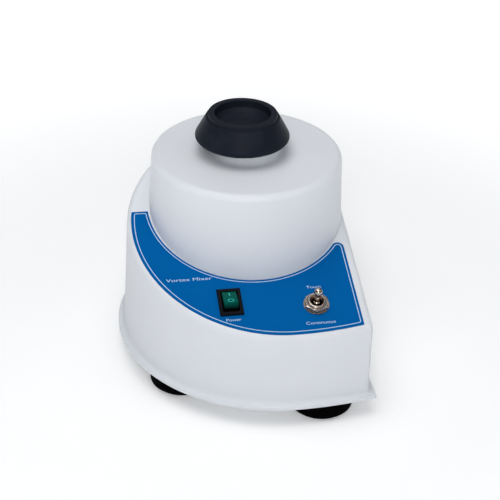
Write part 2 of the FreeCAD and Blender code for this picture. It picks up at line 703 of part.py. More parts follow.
def make_carriage():
    """Sprung plate that carries the motor, and what guides it."""
    half = 46
    plate = block("carrier_plate", 0, 0, S.carrier_level, 2 * half, 2 * half, S.carrier_sheet)
    round_edges(plate, 10, upright)
    drill(plate, ring_spots(S.post_ring, 4, 45), 4.6, carrier_top, S.carrier_sheet)
    drill(plate, [(0, 0)], 24, carrier_top, S.carrier_sheet)
    drill(plate, bolt_ring, 2.15, carrier_top, S.carrier_sheet)
    on_axis("carrier_plate", plate)
    flange_low, shank_top = base_top, 47
    post = turned("post_form", [(0, S.base_bottom), (2.5, S.base_bottom), (2.5, flange_low),
                                (6.4, flange_low), (6.4, flange_low + 1.5),
                                (S.post_radius, flange_low + 1.5), (S.post_radius, shank_top),
                                (0, shank_top)])
    copies("guide_posts", post, [at(x, y) for x, y in post_spots])
    inner = S.post_radius + 0.08
    level = S.carrier_level
    bush = turned("bush_form", [(inner, level - 1.5), (7, level - 1.5), (7, level), (4.55, level),
                                (4.55, carrier_top + 1.5), (inner, carrier_top + 1.5)])
    copies("carrier_bushes", bush, [at(x, y) for x, y in post_spots])
    nut_low = carrier_top + 1.8
    nut = hex_block("stop_nut_form", dim(11), nut_low, 3.6)
    drill(nut, [(0, 0)], S.post_radius + 0.02, nut_low + 3.6, 3.6)
    copies("stop_nuts", nut, [at(x, y) for x, y in post_spots])
    wire, middle = 0.6, 4.9
    low, high = (base_top + 1.5).number + wire, (S.carrier_level - 1.6).number - wire
    turns = 5.5
    path = Part.Wire(Part.makeHelix((high - low) / turns, high - low, middle))
    ring = Part.Wire(Part.makeCircle(wire, Vector(middle, 0, 0), Vector(0, 1, 0)))
    coil = doc.addObject("Part::Feature", "spring_form")
    coil.Shape = path.makePipeShell([ring], True, True)
    copies("return_springs", coil, [at(x, y, low) for x, y in post_spots])


def make_bearing(name, inner, outer, width, lows, x, ball, sets=8):
    """Equal ball bearings, one at each height, as three nodes: outer races, balls, inner races."""
    gap = (outer - inner) * 0.287
    spots = [at(x, S.axis_y, low) for low in lows]
    copies(f"{name}_outer_race", tube(f"{name}_outer_form", outer - gap, outer, 0, width), spots)
    copies(f"{name}_inner_race", tube(f"{name}_inner_form", inner, inner + gap, 0, width), spots)
    sphere = doc.addObject("Part::Sphere", f"{name}_ball_form")
    sphere.Radius = ball
    ring = ring_spots((inner + outer) / 2, sets)
    copies(f"{name}_balls", sphere, [spot.multiply(at(a, b, width / 2)) for spot in spots for a, b in ring])


def end_bell(name, low, tall, flip):
    """Cast end bell: a cup with a bearing boss. The upper one is the same cup turned over."""
    base, rim = (low + tall, low) if flip else (low, low + tall)
    s = -1 if flip else 1
    floor, seat, boss = base + s * 4, base + s * 3.5, base + s * 10.5
    body = turned(name, [(5, base), (S.motor_radius, base), (S.motor_radius, rim), (32, rim),
                         (32, floor), (14, floor), (14, boss), (S.bearing_outer, boss),
                         (S.bearing_outer, seat), (5, seat)])
    drill(body, bolt_ring, 2.15, low + tall, tall)
    drill(body, ring_spots(dim(23), 8, 22.5), 4.2, base + 4 if not flip else base, 4)
    return on_axis(name, body)


def make_motor():
    end_bell("motor_bell_lower", carrier_top, S.bell, False)
    end_bell("motor_bell_upper", stack_top, S.bell, True)
    stack = tube("stator_stack", S.bore_radius, S.motor_radius, stack_bottom, stack_top)
    drill(stack, bolt_ring, 2.15, stack_top, S.stack)
    drill(stack, ring_spots(dim(27.5), 12, 15), 3.0, stack_top, S.stack)
    on_axis("stator_stack", stack)
    slot_fill = tube("slot_fill_form", 0, 2.7, stack_bottom, stack_top)
    spots = [at(S.axis_x + x, S.axis_y + y) for x, y in ring_spots(dim(27.5), 12, 15)]
    copies("slot_windings", slot_fill, spots)
    for name, low in (("winding_lower", stack_bottom - 7.5), ("winding_upper", stack_top + 0.2)):
        coil = tube(name, 23.2, 31.2, low, low + 7.3)
        round_edges(coil, 2.6, lambda edge: edge.Curve.TypeId == "Part::GeomCircle")
        on_axis(name, coil)
    bolt = turned("through_bolt_form", [(0, S.carrier_level - 4), (1.95, S.carrier_level - 4),
                                        (1.95, bell_top), (3.6, bell_top), (3.6, bell_top + 1.8),
                                        (2.8, bell_top + 2.6), (0, bell_top + 2.6)])
    spots = [at(S.axis_x + x, S.axis_y + y) for x, y in bolt_ring]
    copies("motor_through_bolts", bolt, spots)
    nut = hex_block("motor_nut_form", dim(7.6), S.carrier_level - 3.2, 3.2)
    drill(nut, [(0, 0)], 2.0, S.carrier_level, 3.2)
    copies("motor_mount_nuts", nut, spots)
    make_bearing("motor_bearing", S.shaft_radius, S.bearing_outer, S.bearing_width,
                 [carrier_top + 3.5, bell_top - 10.5], S.axis_x, 1.41)


def make_rotor():
    """What turns with the motor shaft."""
    core = tube("rotor_core", S.shaft_radius, S.rotor_radius, stack_bottom - 1, stack_top + 1)
    round_edges(core, 0.8, circle_at(stack_top + 1, S.rotor_radius), "Chamfer")
    on_axis("rotor_core", core)
    shaft_low, shaft_top = dim(22), bell_top + 10
    shaft = tube("motor_shaft", 0, S.shaft_radius, shaft_low, shaft_top)
    round_edges(shaft, 0.5, circle_at(shaft_low, S.shaft_radius), "Chamfer")
    on_axis("motor_shaft", shaft)
    fan = turned("cooling_fan", [(S.shaft_radius, 24), (8, 24), (8, 32.4), (26, 32.4), (26, 34),
                                 (S.shaft_radius, 34)])
    blade = new_sketch(fan, "XY_Plane", 24)
    draw_loop(blade, [(7, -0.8), (25.5, -0.8), (25.5, 0.8), (7, 0.8)])
    one = pad(fan, blade, 9)
    ring = fan.newObject("PartDesign::PolarPattern", "fan_blades")
    ring.Originals = [one]
    ring.Axis = (blade, ["N_Axis"])
    ring.Angle = 360
    ring.Occurrences = 9
    fan.Tip = ring
    on_axis("cooling_fan", fan)
    hub_low = bell_top + 2
    hub_top = hub_low + 16.5
    hub = tube("hub_boss", 0, 12, hub_low, hub_top)
    drill(hub, [(0, 0)], S.shaft_radius, shaft_top, shaft_top - hub_low)
    drill(hub, [(-S.throw, 0)], S.pin_radius, hub_top, hub_top - shaft_top - 0.5)
    place(hub, S.axis_x, S.axis_y)
    weight = doc.addObject("Part::Cylinder", "counterweight_sector")
    bind(weight, "Radius", 29)
    bind(weight, "Height", 8.5)
    weight.Angle = 150
    place(weight, S.axis_x, S.axis_y, hub_low + 1, Rotation(Vector(0, 0, 1), -75))
    shaft_way = place(tube("shaft_way", 0, S.shaft_radius, hub_low - 1, shaft_top), S.axis_x, S.axis_y)
    screw_way = tube("screw_way", 0, 1.5, 3, 30)
    sideways = Rotation(Vector(0, 1, 0), -90)
    place(screw_way, S.axis_x, S.axis_y, hub_low + 5, sideways)
    keep("eccentric_hub", cut("eccentric", fuse("eccentric", [hub, weight]), [shaft_way, screw_way]))
    screw = tube("hub_set_screw", 0, 1.45, 4.1, 11)
    keep("hub_set_screw", place(screw, S.axis_x, S.axis_y, hub_low + 5, sideways))
    groove = S.drum_top + 7.3
    pin = turned("crank_pin", [(0, shaft_top + 0.5), (S.pin_radius, shaft_top + 0.5), (S.pin_radius, groove),
                               (2.4, groove), (2.4, groove + 0.8), (S.pin_radius, groove + 0.8),
                               (S.pin_radius, groove + 1.7), (0, groove + 1.7)])
    on_axis("crank_pin", pin, pin_x)
    clip = tube("pin_clip_ring", 2.45, 5.0, groove + 0.05, groove + 0.75)
    place(clip, pin_x, S.axis_y)
    gap = block("pin_clip_gap", pin_x - 4, S.axis_y, groove - 1, 6, 2.4, 3)
    keep("pin_clip", cut("pin_clip", clip, [gap]))


def make_head():
    """What the crank pin carries through its bearing: carrier, clip and rubber cup."""
    low = S.drum_top + 1
    make_bearing("head_bearing", S.pin_radius, S.head_outer, S.head_width, [low], pin_x, 1.27)
    seat = low + S.head_width
    carrier = turned("head_carrier", [(S.head_outer, low - 3), (12, low - 3), (12, disc_bottom),
                                      (S.head_disc, disc_bottom), (S.head_disc, disc_top), (0, disc_top),
                                      (0, disc_top - 4.2), (8, disc_top - 4.2), (8, seat),
                                      (S.head_outer, seat)])
    on_axis("head_carrier", carrier, pin_x)
    clip = tube("bearing_clip", 8.5, S.head_outer, low - 1.2, low - 0.1)
    on_axis("bearing_clip", clip, pin_x)
    foot, rim = S.drum_top + S.cup_bottom, S.drum_top + S.cup_top
    wide, lip, mouth = S.cup_widest, S.cup_rim, S.cup_mouth
    cup = turned("rubber_cup", [(0, disc_top), (S.head_disc, disc_top), (S.head_disc, disc_bottom),
                                (27.6, disc_bottom), (27.6, foot), (wide - 1.3, foot), (wide, foot + 1.5),
                                (wide, foot + 2.9), (lip + 0.85, rim - 1.9), (lip, rim - 1.7),
                                (lip, rim - 0.5), (lip - 0.5, rim), (mouth + 0.6, rim), (mouth, rim - 0.6),
                                (mouth - 0.3, rim - 5.2), (mouth - 3.2, rim - 7.4), (mouth - 8.0, rim - 9.1),
                                (0, rim - 10.0)])
    round_edges(cup, 2.0, circle_at(foot + 2.9, wide))
    round_edges(cup, 1.2, circle_at(rim - 5.2, mouth - 0.3))
    round_edges(cup, 4.0, circle_at(rim - 7.4, mouth - 3.2))
    on_axis("rubber_cup", cup, pin_x)


def make_touch_switch():
    """Microswitch under the carrier plate, on its bracket."""
    y = S.axis_y + 38
    low = base_top + 2
    top = low + 16
    case = block("microswitch_body", S.axis_x, y, low, 28, 10, 16)
    drill(case, [(S.axis_x - 5, y)], 1.7, top, 8)
    round_edges(case, 0.8, lambda edge: upright(edge) and abs(edge.Vertexes[0].X - S.axis_x.number) > 10)
    keep("microswitch_body", case)
    plunger = tube("switch_plunger", 0, 1.6, top - 5, S.carrier_level - 0.3)
    keep("switch_plunger", place(plunger, S.axis_x - 5, y))
    bracket = block("switch_bracket", S.axis_x, y + 3.5, base_top, 30, 17, 2)
    wall_sketch = new_sketch(bracket, "XY_Plane", base_top)
    left, right = S.axis_x - 15, S.axis_x + 15
    draw_loop(wall_sketch, [(left, y + 5.1), (right, y + 5.1), (right, y + 7.1), (left, y + 7.1)])
    pad(bracket, wall_sketch, 17)
    keep("switch_bracket", bracket)
    tab = block("switch_tab_form", 0, 0, low, 0.8, 4.8, 6)
    out = Rotation(Vector(0, 1, 0), 90)
    spots = [Placement(Vector((S.axis_x + side).number, y.number, (low + up).number), out)
             for side, up in ((14 - low.number, 4), (14 - low.number, 11))]
    copies("switch_terminals", tab, spots)


def make_inlet():
    """Mains inlet with a fuse drawer, in the back wall."""
    x, y, z = S.sweep_x, S.land_y, S.inlet_level
    body = block("inlet_body", x, y + 1, z - 19, 31, 2, 38)
    round_edges(body, 2, lambda edge: abs(edge.Vertexes[0].Y - edge.Vertexes[1].Y) > 1)
    low = new_sketch(body, "XY_Plane", z - 17)
    draw_loop(low, [(x - 13.5, y - 22), (x + 13.5, y - 22), (x + 13.5, y + 1), (x - 13.5, y + 1)])
    pad(body, low, 34)
    keep("mains_inlet", cut("mains_inlet", body, [
        block("socket_way", x, y - 5.5, z + 0.5, 24, 15.1, 15),
        block("drawer_way", x, y - 7, z - 14.4, 24.6, 18.1, 11.2)]))
    blades = [block(f"blade_form{n}", x + side, y - 7, z + up, 2, 12, 4)
              for n, (side, up) in enumerate(((-7, 4), (0, 8), (7, 4)))]
    tabs = [block(f"inlet_tab_form{n}", x + side, y - 26, z + up, 4.8, 8, 0.8)
            for n, (side, up) in enumerate(((-7, 6), (0, 10), (7, 6)))]
    doc.recompute()
    contacts = doc.addObject("Part::Feature", "inlet_contacts")
    contacts.Shape = Part.makeCompound([b.Shape.copy() for b in blades + tabs])
    contacts.Placement = Placement()
    keep("inlet_contacts", contacts)
    drawer = block("fuse_drawer", x, y - 6.2, z - 14.1, 24, 18.8, 10.6)
    pocket_sketch = new_sketch(drawer, "XY_Plane", z - 3.5)
    draw_loop(pocket_sketch, [(x - 10.5, y - 12), (x + 10.5, y - 12), (x + 10.5, y - 5.6),
                              (x - 10.5, y - 5.6)])
    pocket = drawer.newObject("PartDesign::Pocket", "fuse_pocket")
    pocket.Profile = pocket_sketch
    pocket.Length = 8
    notch = new_sketch(drawer, "XY_Plane", z - 3.5)
    draw_loop(notch, [(x - 5, y + 1.2), (x + 5, y + 1.2), (x + 5, y + 4), (x - 5, y + 4)])
    finger = drawer.newObject("PartDesign::Pocket", "finger_notch")
    finger.Profile = notch
    finger.Length = 2.2
    keep("fuse_drawer", drawer)
    along = Rotation(Vector(0, 1, 0), 90)
    fuse_tube = tube("fuse", 0, 2.6, -10, 10)
    keep("fuse", place(fuse_tube, x, y - 8.8, z - 8.8, along))


def make_electrics():
    box = block("run_capacitor", -52, 0, base_top, 18, 38, 30)
    round_edges(box, 2, upright)
    keep("run_capacitor", box)
    stud = turned("earth_stud", [(0, base_top), (3.5, base_top), (3.5, base_top + 2.6),
                                 (1.95, base_top + 2.6), (1.95, base_top + 11), (0, base_top + 11)])
    keep("earth_stud", place(stud, -10, 74))


make_housing()
make_overlay()
make_base()
make_rocker()
make_toggle()
make_carriage()
make_motor()
make_rotor()
make_head()
make_touch_switch()
make_inlet()
make_electrics()
doc.recompute()

failed = [thing.Name for thing in doc.Objects if {"Invalid", "Error"} & set(thing.State)]
assert not failed, failed
for name, thing in nodes.items():
    assert not thing.Shape.isNull() and thing.Shape.isValid(), name

os.makedirs("parts", exist_ok=True)
for name, thing in nodes.items():
    thing.Shape.exportStep(f"parts/{name}.step")
print(len(nodes), "sub-parts written")
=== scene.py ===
# %% [markdown]
# # Dressing a vortex mixer
# A vortex mixer is a small heavy laboratory machine. A motor in the drum swings a rubber cup in a
# tiny circle, and a tube pressed into the cup has its liquid stirred. The solid parts come ready made
# from the CAD model. This lesson gives them finishes, and adds what CAD leaves out: printed lines and
# words, moulded rubber, crossed screw heads, wound springs, ribs and bevels. Everything is in metres, with
# Z up.

# %% Load the fixed frame
import json
import math

import bmesh
import bpy
from mathutils import Matrix, Vector


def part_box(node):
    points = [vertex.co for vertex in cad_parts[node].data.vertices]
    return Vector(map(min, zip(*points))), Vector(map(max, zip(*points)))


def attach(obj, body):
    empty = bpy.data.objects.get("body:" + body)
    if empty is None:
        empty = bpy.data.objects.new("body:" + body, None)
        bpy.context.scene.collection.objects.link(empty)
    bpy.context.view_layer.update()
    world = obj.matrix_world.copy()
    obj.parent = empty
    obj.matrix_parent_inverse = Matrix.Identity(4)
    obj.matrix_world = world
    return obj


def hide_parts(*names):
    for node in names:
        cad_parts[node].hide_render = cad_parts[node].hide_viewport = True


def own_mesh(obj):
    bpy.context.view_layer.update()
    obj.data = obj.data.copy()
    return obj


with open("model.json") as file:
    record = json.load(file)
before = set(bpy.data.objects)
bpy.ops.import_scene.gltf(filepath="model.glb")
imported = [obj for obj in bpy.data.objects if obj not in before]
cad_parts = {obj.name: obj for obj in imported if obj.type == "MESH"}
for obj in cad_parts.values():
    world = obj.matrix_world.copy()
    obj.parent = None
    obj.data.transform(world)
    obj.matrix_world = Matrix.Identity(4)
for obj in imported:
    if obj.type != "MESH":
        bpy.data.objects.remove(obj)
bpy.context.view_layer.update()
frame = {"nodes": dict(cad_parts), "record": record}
nodes = frame["nodes"]

# %% [markdown]
# ## The few levels that everything else hangs on
# Every number could be typed in place, but then one change would mean many. So the drum's axis and top
# are read from the solid parts, and a piece made here lands where the CAD part is. Only what no box can
# tell, such as the slope of the control face, is written down. A millimetre is written as MM, which keeps
# the numbers close to those a maker would say aloud.

# %% Levels and places
MM = 0.001
shaft_low, shaft_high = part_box("motor_shaft")
drum_axis = (shaft_low + shaft_high) / 2
collar_rise = 8 * MM            # the collar behind the drum stands this far above the drum's top
drum_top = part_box("upper_housing")[1].z - collar_rise
slope = math.radians(15.6)      # the control face falls towards the front
slope_height = 92.8 * MM        # its height straight below the middle of the frame
sheet_top = 0.4 * MM            # the blue sheet's thickness
print_lift = 0.02 * MM          # how far the ink stands above the sheet
print("drum axis", [round(v / MM, 2) for v in drum_axis.xy], "top", round(drum_top / MM, 2))


def on_panel(x, y, lift=0.0):
    """A place on the sloped face: local X and Y lie in it, Y runs up the slope, Z leaves it."""
    spot = Vector((x, y, slope_height + y * math.tan(slope)))
    return Matrix.Translation(spot) @ Matrix.Rotation(slope, 4, "X") @ Matrix.Translation((0, 0, lift))


# %% [markdown]
# ## The camera
# The camera stands in front, a little to the left, and looks down at about 32 degrees. A long lens
# keeps the sides nearly parallel, so that proportions can be judged. A camera could be dragged into place
# by hand, but a place that is worked out can be repeated: it walks back from the drum's top along the line
# of sight, and then slides sideways and up until the whole mixer is framed.

# %% Camera
def aim_camera(target, azimuth, elevation, roll, distance, across, down):
    """Stand a camera at a distance from the target, rolled, with the target off centre by across and down."""
    forward = Vector((math.sin(azimuth) * math.cos(elevation), math.cos(azimuth) * math.cos(elevation),
                      -math.sin(elevation)))
    right = Vector((math.cos(azimuth), -math.sin(azimuth), 0))
    up = right.cross(forward)
    rolled_right = math.cos(roll) * right + math.sin(roll) * up
    rolled_up = math.cos(roll) * up - math.sin(roll) * right
    turn = Matrix((rolled_right, rolled_up, -forward)).transposed().to_4x4()
    place = target - forward * distance - rolled_right * across + rolled_up * down
    data = bpy.data.cameras.new("product_camera")
    data.lens, data.sensor_width = 85.045, 36      # both in millimetres
    camera = bpy.data.objects.new("product_camera", data)
    bpy.context.scene.collection.objects.link(camera)
    camera.matrix_world = Matrix.Translation(place) @ turn
    bpy.context.scene.camera = camera
    return camera


scene = bpy.context.scene
drum_crown = Vector((drum_axis.x, drum_axis.y, drum_top))
camera = aim_camera(drum_crown, azimuth=math.radians(9.9), elevation=math.radians(32.32),
                    roll=math.radians(1.673), distance=782.1 * MM, across=-2.13 * MM, down=-66.28 * MM)
print("camera at", [round(v, 3) for v in camera.location])

# %% [markdown]
# ## Light
# White plastic shows its shape only through soft shadows, and hard lamps would burn it out, so every lamp
# here is a wide square. The key lamp stands high in front, a little to the left. A low lamp in front gives
# the highlight on the black cup, a weak one fills the right side, and one behind parts the drum from the
# floor. The world around is pale too, so no shadow turns black.

# %% Lamps and world
scene.view_settings.view_transform = "Standard"


def add_lamp(name, azimuth, elevation, distance, size, power):
    """A square soft lamp that looks at the drum's top. Its direction is in degrees, its power in watts."""
    azimuth, elevation = math.radians(azimuth), math.radians(elevation)
    data = bpy.data.lights.new(name, "AREA")
    data.size = size
    data.energy = power
    lamp = bpy.data.objects.new(name, data)
    bpy.context.scene.collection.objects.link(lamp)
    towards = Vector((math.sin(azimuth) * math.cos(elevation), -math.cos(azimuth) * math.cos(elevation),
                      math.sin(elevation)))
    lamp.location = drum_crown + towards * distance
    lamp.rotation_euler = towards.to_track_quat("Z", "Y").to_euler()
    return lamp


lamps = [add_lamp("key_lamp", azimuth=-50, elevation=76, distance=1.1, size=0.9, power=7.5),
         add_lamp("fill_lamp", azimuth=68, elevation=48, distance=1.6, size=0.9, power=1.7),
         add_lamp("back_lamp", azimuth=165, elevation=48, distance=1.6, size=1.0, power=2.5),
         add_lamp("low_lamp", azimuth=-12, elevation=28, distance=1.4, size=0.4, power=4.8)]

scene.world = bpy.data.worlds.new("pale_room")
scene.world.use_nodes = True
sky = scene.world.node_tree.nodes["Background"].inputs
sky["Color"].default_value = (0.93, 0.96, 1.0, 1)
sky["Strength"].default_value = 0.17
print({lamp.name: [round(v, 2) for v in lamp.location] for lamp in lamps})

# %% [markdown]
# ## Finishes as sums
# A finish is a web of shader nodes. Wiring them one by one hides the idea, so a socket is wrapped in a
# small class on which ordinary sums can be written: `1 - mask * 0.3` adds two Math nodes. Colours don't
# go through those, because a Math node makes a colour grey; they are mixed instead, in the next class.

# %% Sockets that take sums
class Wire:
    """One output of a shader node, on which sums can be written."""

    def __init__(self, finish, socket):
        self.finish, self.socket = finish, socket

    def maths(self, operation, *values):
        return self.finish.node("ShaderNodeMath", {"operation": operation}, dict(enumerate(values)))

    def __add__(self, other):
        return self.maths("ADD", self, other)

    def __sub__(self, other):
        return self.maths("SUBTRACT", self, other)

    def __rsub__(self, other):
        return self.maths("SUBTRACT", other, self)

    def __mul__(self, other):
        return self.maths("MULTIPLY", self, other)

    __radd__, __rmul__ = __add__, __mul__

    def __abs__(self):
        return self.maths("ABSOLUTE", self)

    def sine(self):
        return self.maths("SINE", self)

    def between(self, low, high):
        """This value stretched so that low becomes 0 and high becomes 1, and held there."""
        return self.finish.node("ShaderNodeMapRange", {"interpolation_type": "SMOOTHSTEP"},
                                {"Value": self, "From Min": low, "From Max": high})


print("a Wire knows", [name for name in vars(Wire) if name.startswith("__r")], "as well as + - *")

# %% [markdown]
# ## One maker for every node
# A finish starts as Blender's Principled shader, which holds for plastic, rubber and metal alike. All other
# nodes come from one method, which takes a node's type, its settings and what goes into its sockets. The
# patterns are laid in each part's own object coordinates, so that they ride along when the part moves.

# %% A finish and its patterns
class Finish:
    """A material in the making. Object coordinates are in metres, so a scale of 1000 gives grains of 1 mm."""

    def __init__(self, name, **constants):
        self.material = bpy.data.materials.new(name)
        self.material.use_nodes = True
        self.tree = self.material.node_tree
        self.shader = self.tree.nodes["Principled BSDF"]
        self.spot = self.node("ShaderNodeTexCoord", out="Object")
        self.done(**constants)

    def feed(self, node, sockets):
        """Link a Wire to its socket, or set the socket to a plain value."""
        for key, value in sockets.items():
            if isinstance(value, Wire):
                self.tree.links.new(value.socket, node.inputs[key])
            else:
                node.inputs[key].default_value = value

    def node(self, kind, settings=None, sockets=None, out=0):
        """Any node: its settings first, then the values and links of its sockets."""
        new = self.tree.nodes.new(kind)
        for key, value in (settings or {}).items():
            setattr(new, key, value)
        self.feed(new, sockets or {})
        return Wire(self, new.outputs[out])

    def noise(self, scale, detail, spot=None, **more):
        """Soft random patches of 0 to 1."""
        sockets = {"Vector": spot or self.spot, "Scale": scale, "Detail": detail, **more}
        return self.node("ShaderNodeTexNoise", {}, sockets)

    def stretched(self, *scales):
        """Coordinates with a scale of their own along X, Y and Z, for streaks and brushing."""
        return self.node("ShaderNodeVectorMath", {"operation": "MULTIPLY"},
                         {0: self.spot, 1: scales}, "Vector")

    def along(self, axis):
        """The place along one axis of the part, in metres."""
        return self.node("ShaderNodeSeparateXYZ", {}, {0: self.spot}, axis)

    def mix(self, share, first, second):
        """From the first colour to the second as share goes from 0 to 1."""
        solid = [value if isinstance(value, Wire) else (*value, 1) for value in (first, second)]
        return self.node("ShaderNodeMix", {"data_type": "RGBA"}, {0: share, 6: solid[0], 7: solid[1]}, 2)

    def edge(self, width):
        """1 on sharp edges, falling to 0 at that distance from them."""
        soft = self.node("ShaderNodeBevel", {"samples": 4}, {"Radius": width})
        flat = self.node("ShaderNodeNewGeometry", out="Normal")
        agree = self.node("ShaderNodeVectorMath", {"operation": "DOT_PRODUCT"}, {0: soft, 1: flat}, "Value")
        return (1 - agree).between(0.02, 0.25)

    def bump(self, height, distance, strength, bevel=None):
        """Relief from a height of 0 to 1 that stands that far out, over edges softened by bevel."""
        sockets = {"Height": height, "Distance": distance, "Strength": strength}
        if bevel:
            sockets["Normal"] = self.node("ShaderNodeBevel", {"samples": 4}, {"Radius": bevel})
        return self.node("ShaderNodeBump", {}, sockets)

    def done(self, **sockets):
        """Fill the shader's own sockets, with _ for a space in their names, and hand over the material."""
        self.feed(self.shader, {name.replace("_", " "): value for name, value in sockets.items()})
        return self.material


finishes = {}
print("a finish offers", [name for name in vars(Finish) if not name.startswith("_")])

# %% [markdown]
# ## White housing
# The housing is moulded in white ABS from a lightly sparked mould, so it has a very fine grain and a
# satin shine. One flat white would look like paper. Real white plastic is a little cooler and darker where
# the mould filled last, and edges that hands touch are rubbed a little smoother, so two soft noises tint
# it, a third one gives the grain, and a mask finds the edges.

# %% White ABS
white = Finish("white_abs", Specular_IOR_Level=0.45)
flow = white.noise(14, 2)
cloud = white.noise(55, 3)
grain = white.noise(2600, 2)
handled = white.edge(1.2 * MM)
tone = white.mix(flow * 0.6 + cloud * 0.4, (0.715, 0.745, 0.790), (0.765, 0.790, 0.825))
tone = white.mix(handled * 0.35, tone, (0.82, 0.84, 0.865))
finishes["housing_white"] = white.done(
    Base_Color=tone, Roughness=0.40 + cloud * 0.10 - handled * 0.08 + grain * 0.04,
    Normal=white.bump(grain, 0.03 * MM, 0.35, bevel=0.35 * MM))
print("white ABS has", len(white.tree.nodes), "nodes")

# %% [markdown]
# ## Blue control panel sheet
# The blue is ink printed on the back of a thin polycarbonate sheet, which has a fine velvet texture on
# its front. A picture of the print could be laid on it, but the ink is even, and so a slow drift of tone
# and a fine speckle say as much. Where the sheet was cut its edge is a little paler.

# %% Blue printed sheet
blue = Finish("blue_printed_sheet", Specular_IOR_Level=0.01)
drift = blue.noise(18, 2)
speckle = blue.noise(1900, 2)
cut_edge = blue.edge(0.25 * MM)
ink = blue.mix(drift, (0.0002, 0.104, 0.350), (0.0003, 0.122, 0.395))
ink = blue.mix((speckle - 0.5) * 0.25 + 0.1, ink, (0.0002, 0.078, 0.28))
ink = blue.mix(cut_edge * 0.4, ink, (0.10, 0.24, 0.50))
finishes["panel_blue"] = blue.done(
    Base_Color=ink, Roughness=0.42 + speckle * 0.12,
    Normal=blue.bump(speckle, 0.02 * MM, 0.3, bevel=0.12 * MM))
print("blue sheet has", len(blue.tree.nodes), "nodes")

# %% [markdown]
# ## Rubber
# The cup and the feet are nitrile rubber, nearly black with a blue cast. Rubber blooms: a thin pale film
# comes to its surface in soft patches. It also holds dust and shows fine scuffs. Both kinds come from one
# helper, because only their darkness and gloss differ: tubes and hands polish the cup, and the feet stay
# duller and blacker.

# %% Rubber of the cup and feet
def rubber(name, shine, dark, pale, gloss, scuff_share):
    """Rubber from its dark and its bloomed colour, with its roughness and how much the scuffs show."""
    made = Finish(name, Specular_IOR_Level=shine)
    bloom = made.noise(70, 4, Distortion=0.4).between(0.35, 0.75)
    grain = made.noise(1500, 3)
    scuffs = made.noise(1.0, 3, made.stretched(260, 260, 1400)).between(0.62, 0.80)
    worn = made.edge(0.6 * MM)
    shade = made.mix(bloom * 0.7 + grain * 0.2, dark, pale)
    shade = made.mix(scuffs * scuff_share, shade, tuple(3 * v for v in pale))
    shade = made.mix(worn * 0.35, shade, tuple(2.2 * v for v in pale))
    return made.done(Base_Color=shade, Roughness=gloss + bloom * 0.10 + scuffs * 0.08 - worn * 0.06,
                     Normal=made.bump(grain, 0.03 * MM, 0.4))


finishes["rubber_black"] = rubber("cup_rubber", 0.07, (0.0085, 0.0108, 0.0180), (0.0140, 0.0172, 0.0275),
                                  gloss=0.44, scuff_share=0.08)
finishes["foot_rubber"] = rubber("foot_rubber", 0.015, (0.0004, 0.0004, 0.0008), (0.0012, 0.0012, 0.0016),
                                 gloss=0.50, scuff_share=0.04)
print("rubbers:", [finishes[name].name for name in ("rubber_black", "foot_rubber")])

# %% [markdown]
# ## Black switch nylon
# The frame of the rocker switch is black glass-filled nylon. Glass fibres drag flow marks through it as it
# fills the mould, and leave fine pits. Streaks are noise that is stretched more along one axis than along
# the others, which is simpler than drawing each mark.

# %% Black nylon
nylon = Finish("black_nylon", Specular_IOR_Level=0.06)
flow_marks = nylon.noise(1.0, 4, nylon.stretched(220, 900, 220))
pits = nylon.noise(3000, 2)
rubbed = nylon.edge(0.3 * MM)
coal = nylon.mix(flow_marks, (0.0030, 0.0036, 0.0052), (0.0062, 0.0072, 0.0098))
coal = nylon.mix(rubbed * 0.4, coal, (0.022, 0.024, 0.028))
finishes["plastic_black"] = nylon.done(
    Base_Color=coal, Roughness=0.34 + flow_marks * 0.14,
    Normal=nylon.bump(pits, 0.015 * MM, 0.35, bevel=0.2 * MM))
print("black nylon has", len(nylon.tree.nodes), "nodes")

# %% [markdown]
# ## Green lens
# The button is clear green polycarbonate over a lamp that is off. It could be made as real glass, but
# clear plastic over a dark hollow looks deep green near its top face and nearly black lower down. Here
# that light and shade are painted: a colour that follows the height in the button's own frame gives them
# without any bent light.

# %% Green lens
lens = Finish("green_lens", Specular_IOR_Level=0.02)
cloudy = lens.noise(420, 3)
ripple = lens.noise(1.0, 2, lens.stretched(120, 2600, 120))
rim = lens.edge(0.35 * MM)
# painted light near the button's top face, fading to painted shade lower down
painted_light_by_height = lens.along("Z").between(1.5 * MM, 5.3 * MM)
green = lens.mix(cloudy, (0.0006, 0.070, 0.052), (0.0010, 0.130, 0.100))
green = lens.mix(ripple * 0.25, green, (0.0005, 0.030, 0.024))
green = lens.mix(painted_light_by_height, (0.0004, 0.018, 0.016), green)
green = lens.mix(rim * 0.3, green, (0.002, 0.16, 0.13))
finishes["rocker_green"] = lens.done(
    Base_Color=green, Roughness=0.14 + cloudy * 0.1,
    Normal=lens.bump(ripple, 0.03 * MM, 0.3, bevel=0.18 * MM))
print("green lens has", len(lens.tree.nodes), "nodes")

# %% [markdown]
# ## Plated and bare metals
# Nickel plate is bright and warm, with fine brushing round the part and a few dull patches. Its colour here
# is painted darker than real nickel, a painted dark reflection, because the pale room has nothing dark for it
# to mirror. Zinc on the steel sheet is duller and cloudy, with crystals. The cast bells are rough, the
# laminations show their stack of thin sheets, and the bearing steel is ground bright. One helper makes them
# all, because they differ only in colour, shine and the pattern of their surface.

# %% Metals
def metal(name, dark, bright, gloss, pattern, relief, tarnish=(0.20, 0.15, 0.11), dull=0.15):
    """A metal with a roughness of gloss, whose colour and relief follow a pattern of 0 to 1."""
    made = Finish(name, Metallic=1.0)
    texture = pattern(made)
    patches = made.noise(160, 3).between(0.45, 0.8)
    worn = made.edge(0.2 * MM)
    shade = made.mix(texture, dark, bright)
    shade = made.mix(patches * dull, shade, tarnish)
    shade = made.mix(worn * 0.4, shade, tuple(min(1.0, 1.15 * v) for v in bright))
    return made.done(Base_Color=shade, Roughness=gloss + texture * 0.08 + patches * dull,
                     Normal=made.bump(texture, relief, 0.4, bevel=0.15 * MM))


def brushed(made):
    return made.noise(1.0, 3, made.stretched(300, 300, 5000))


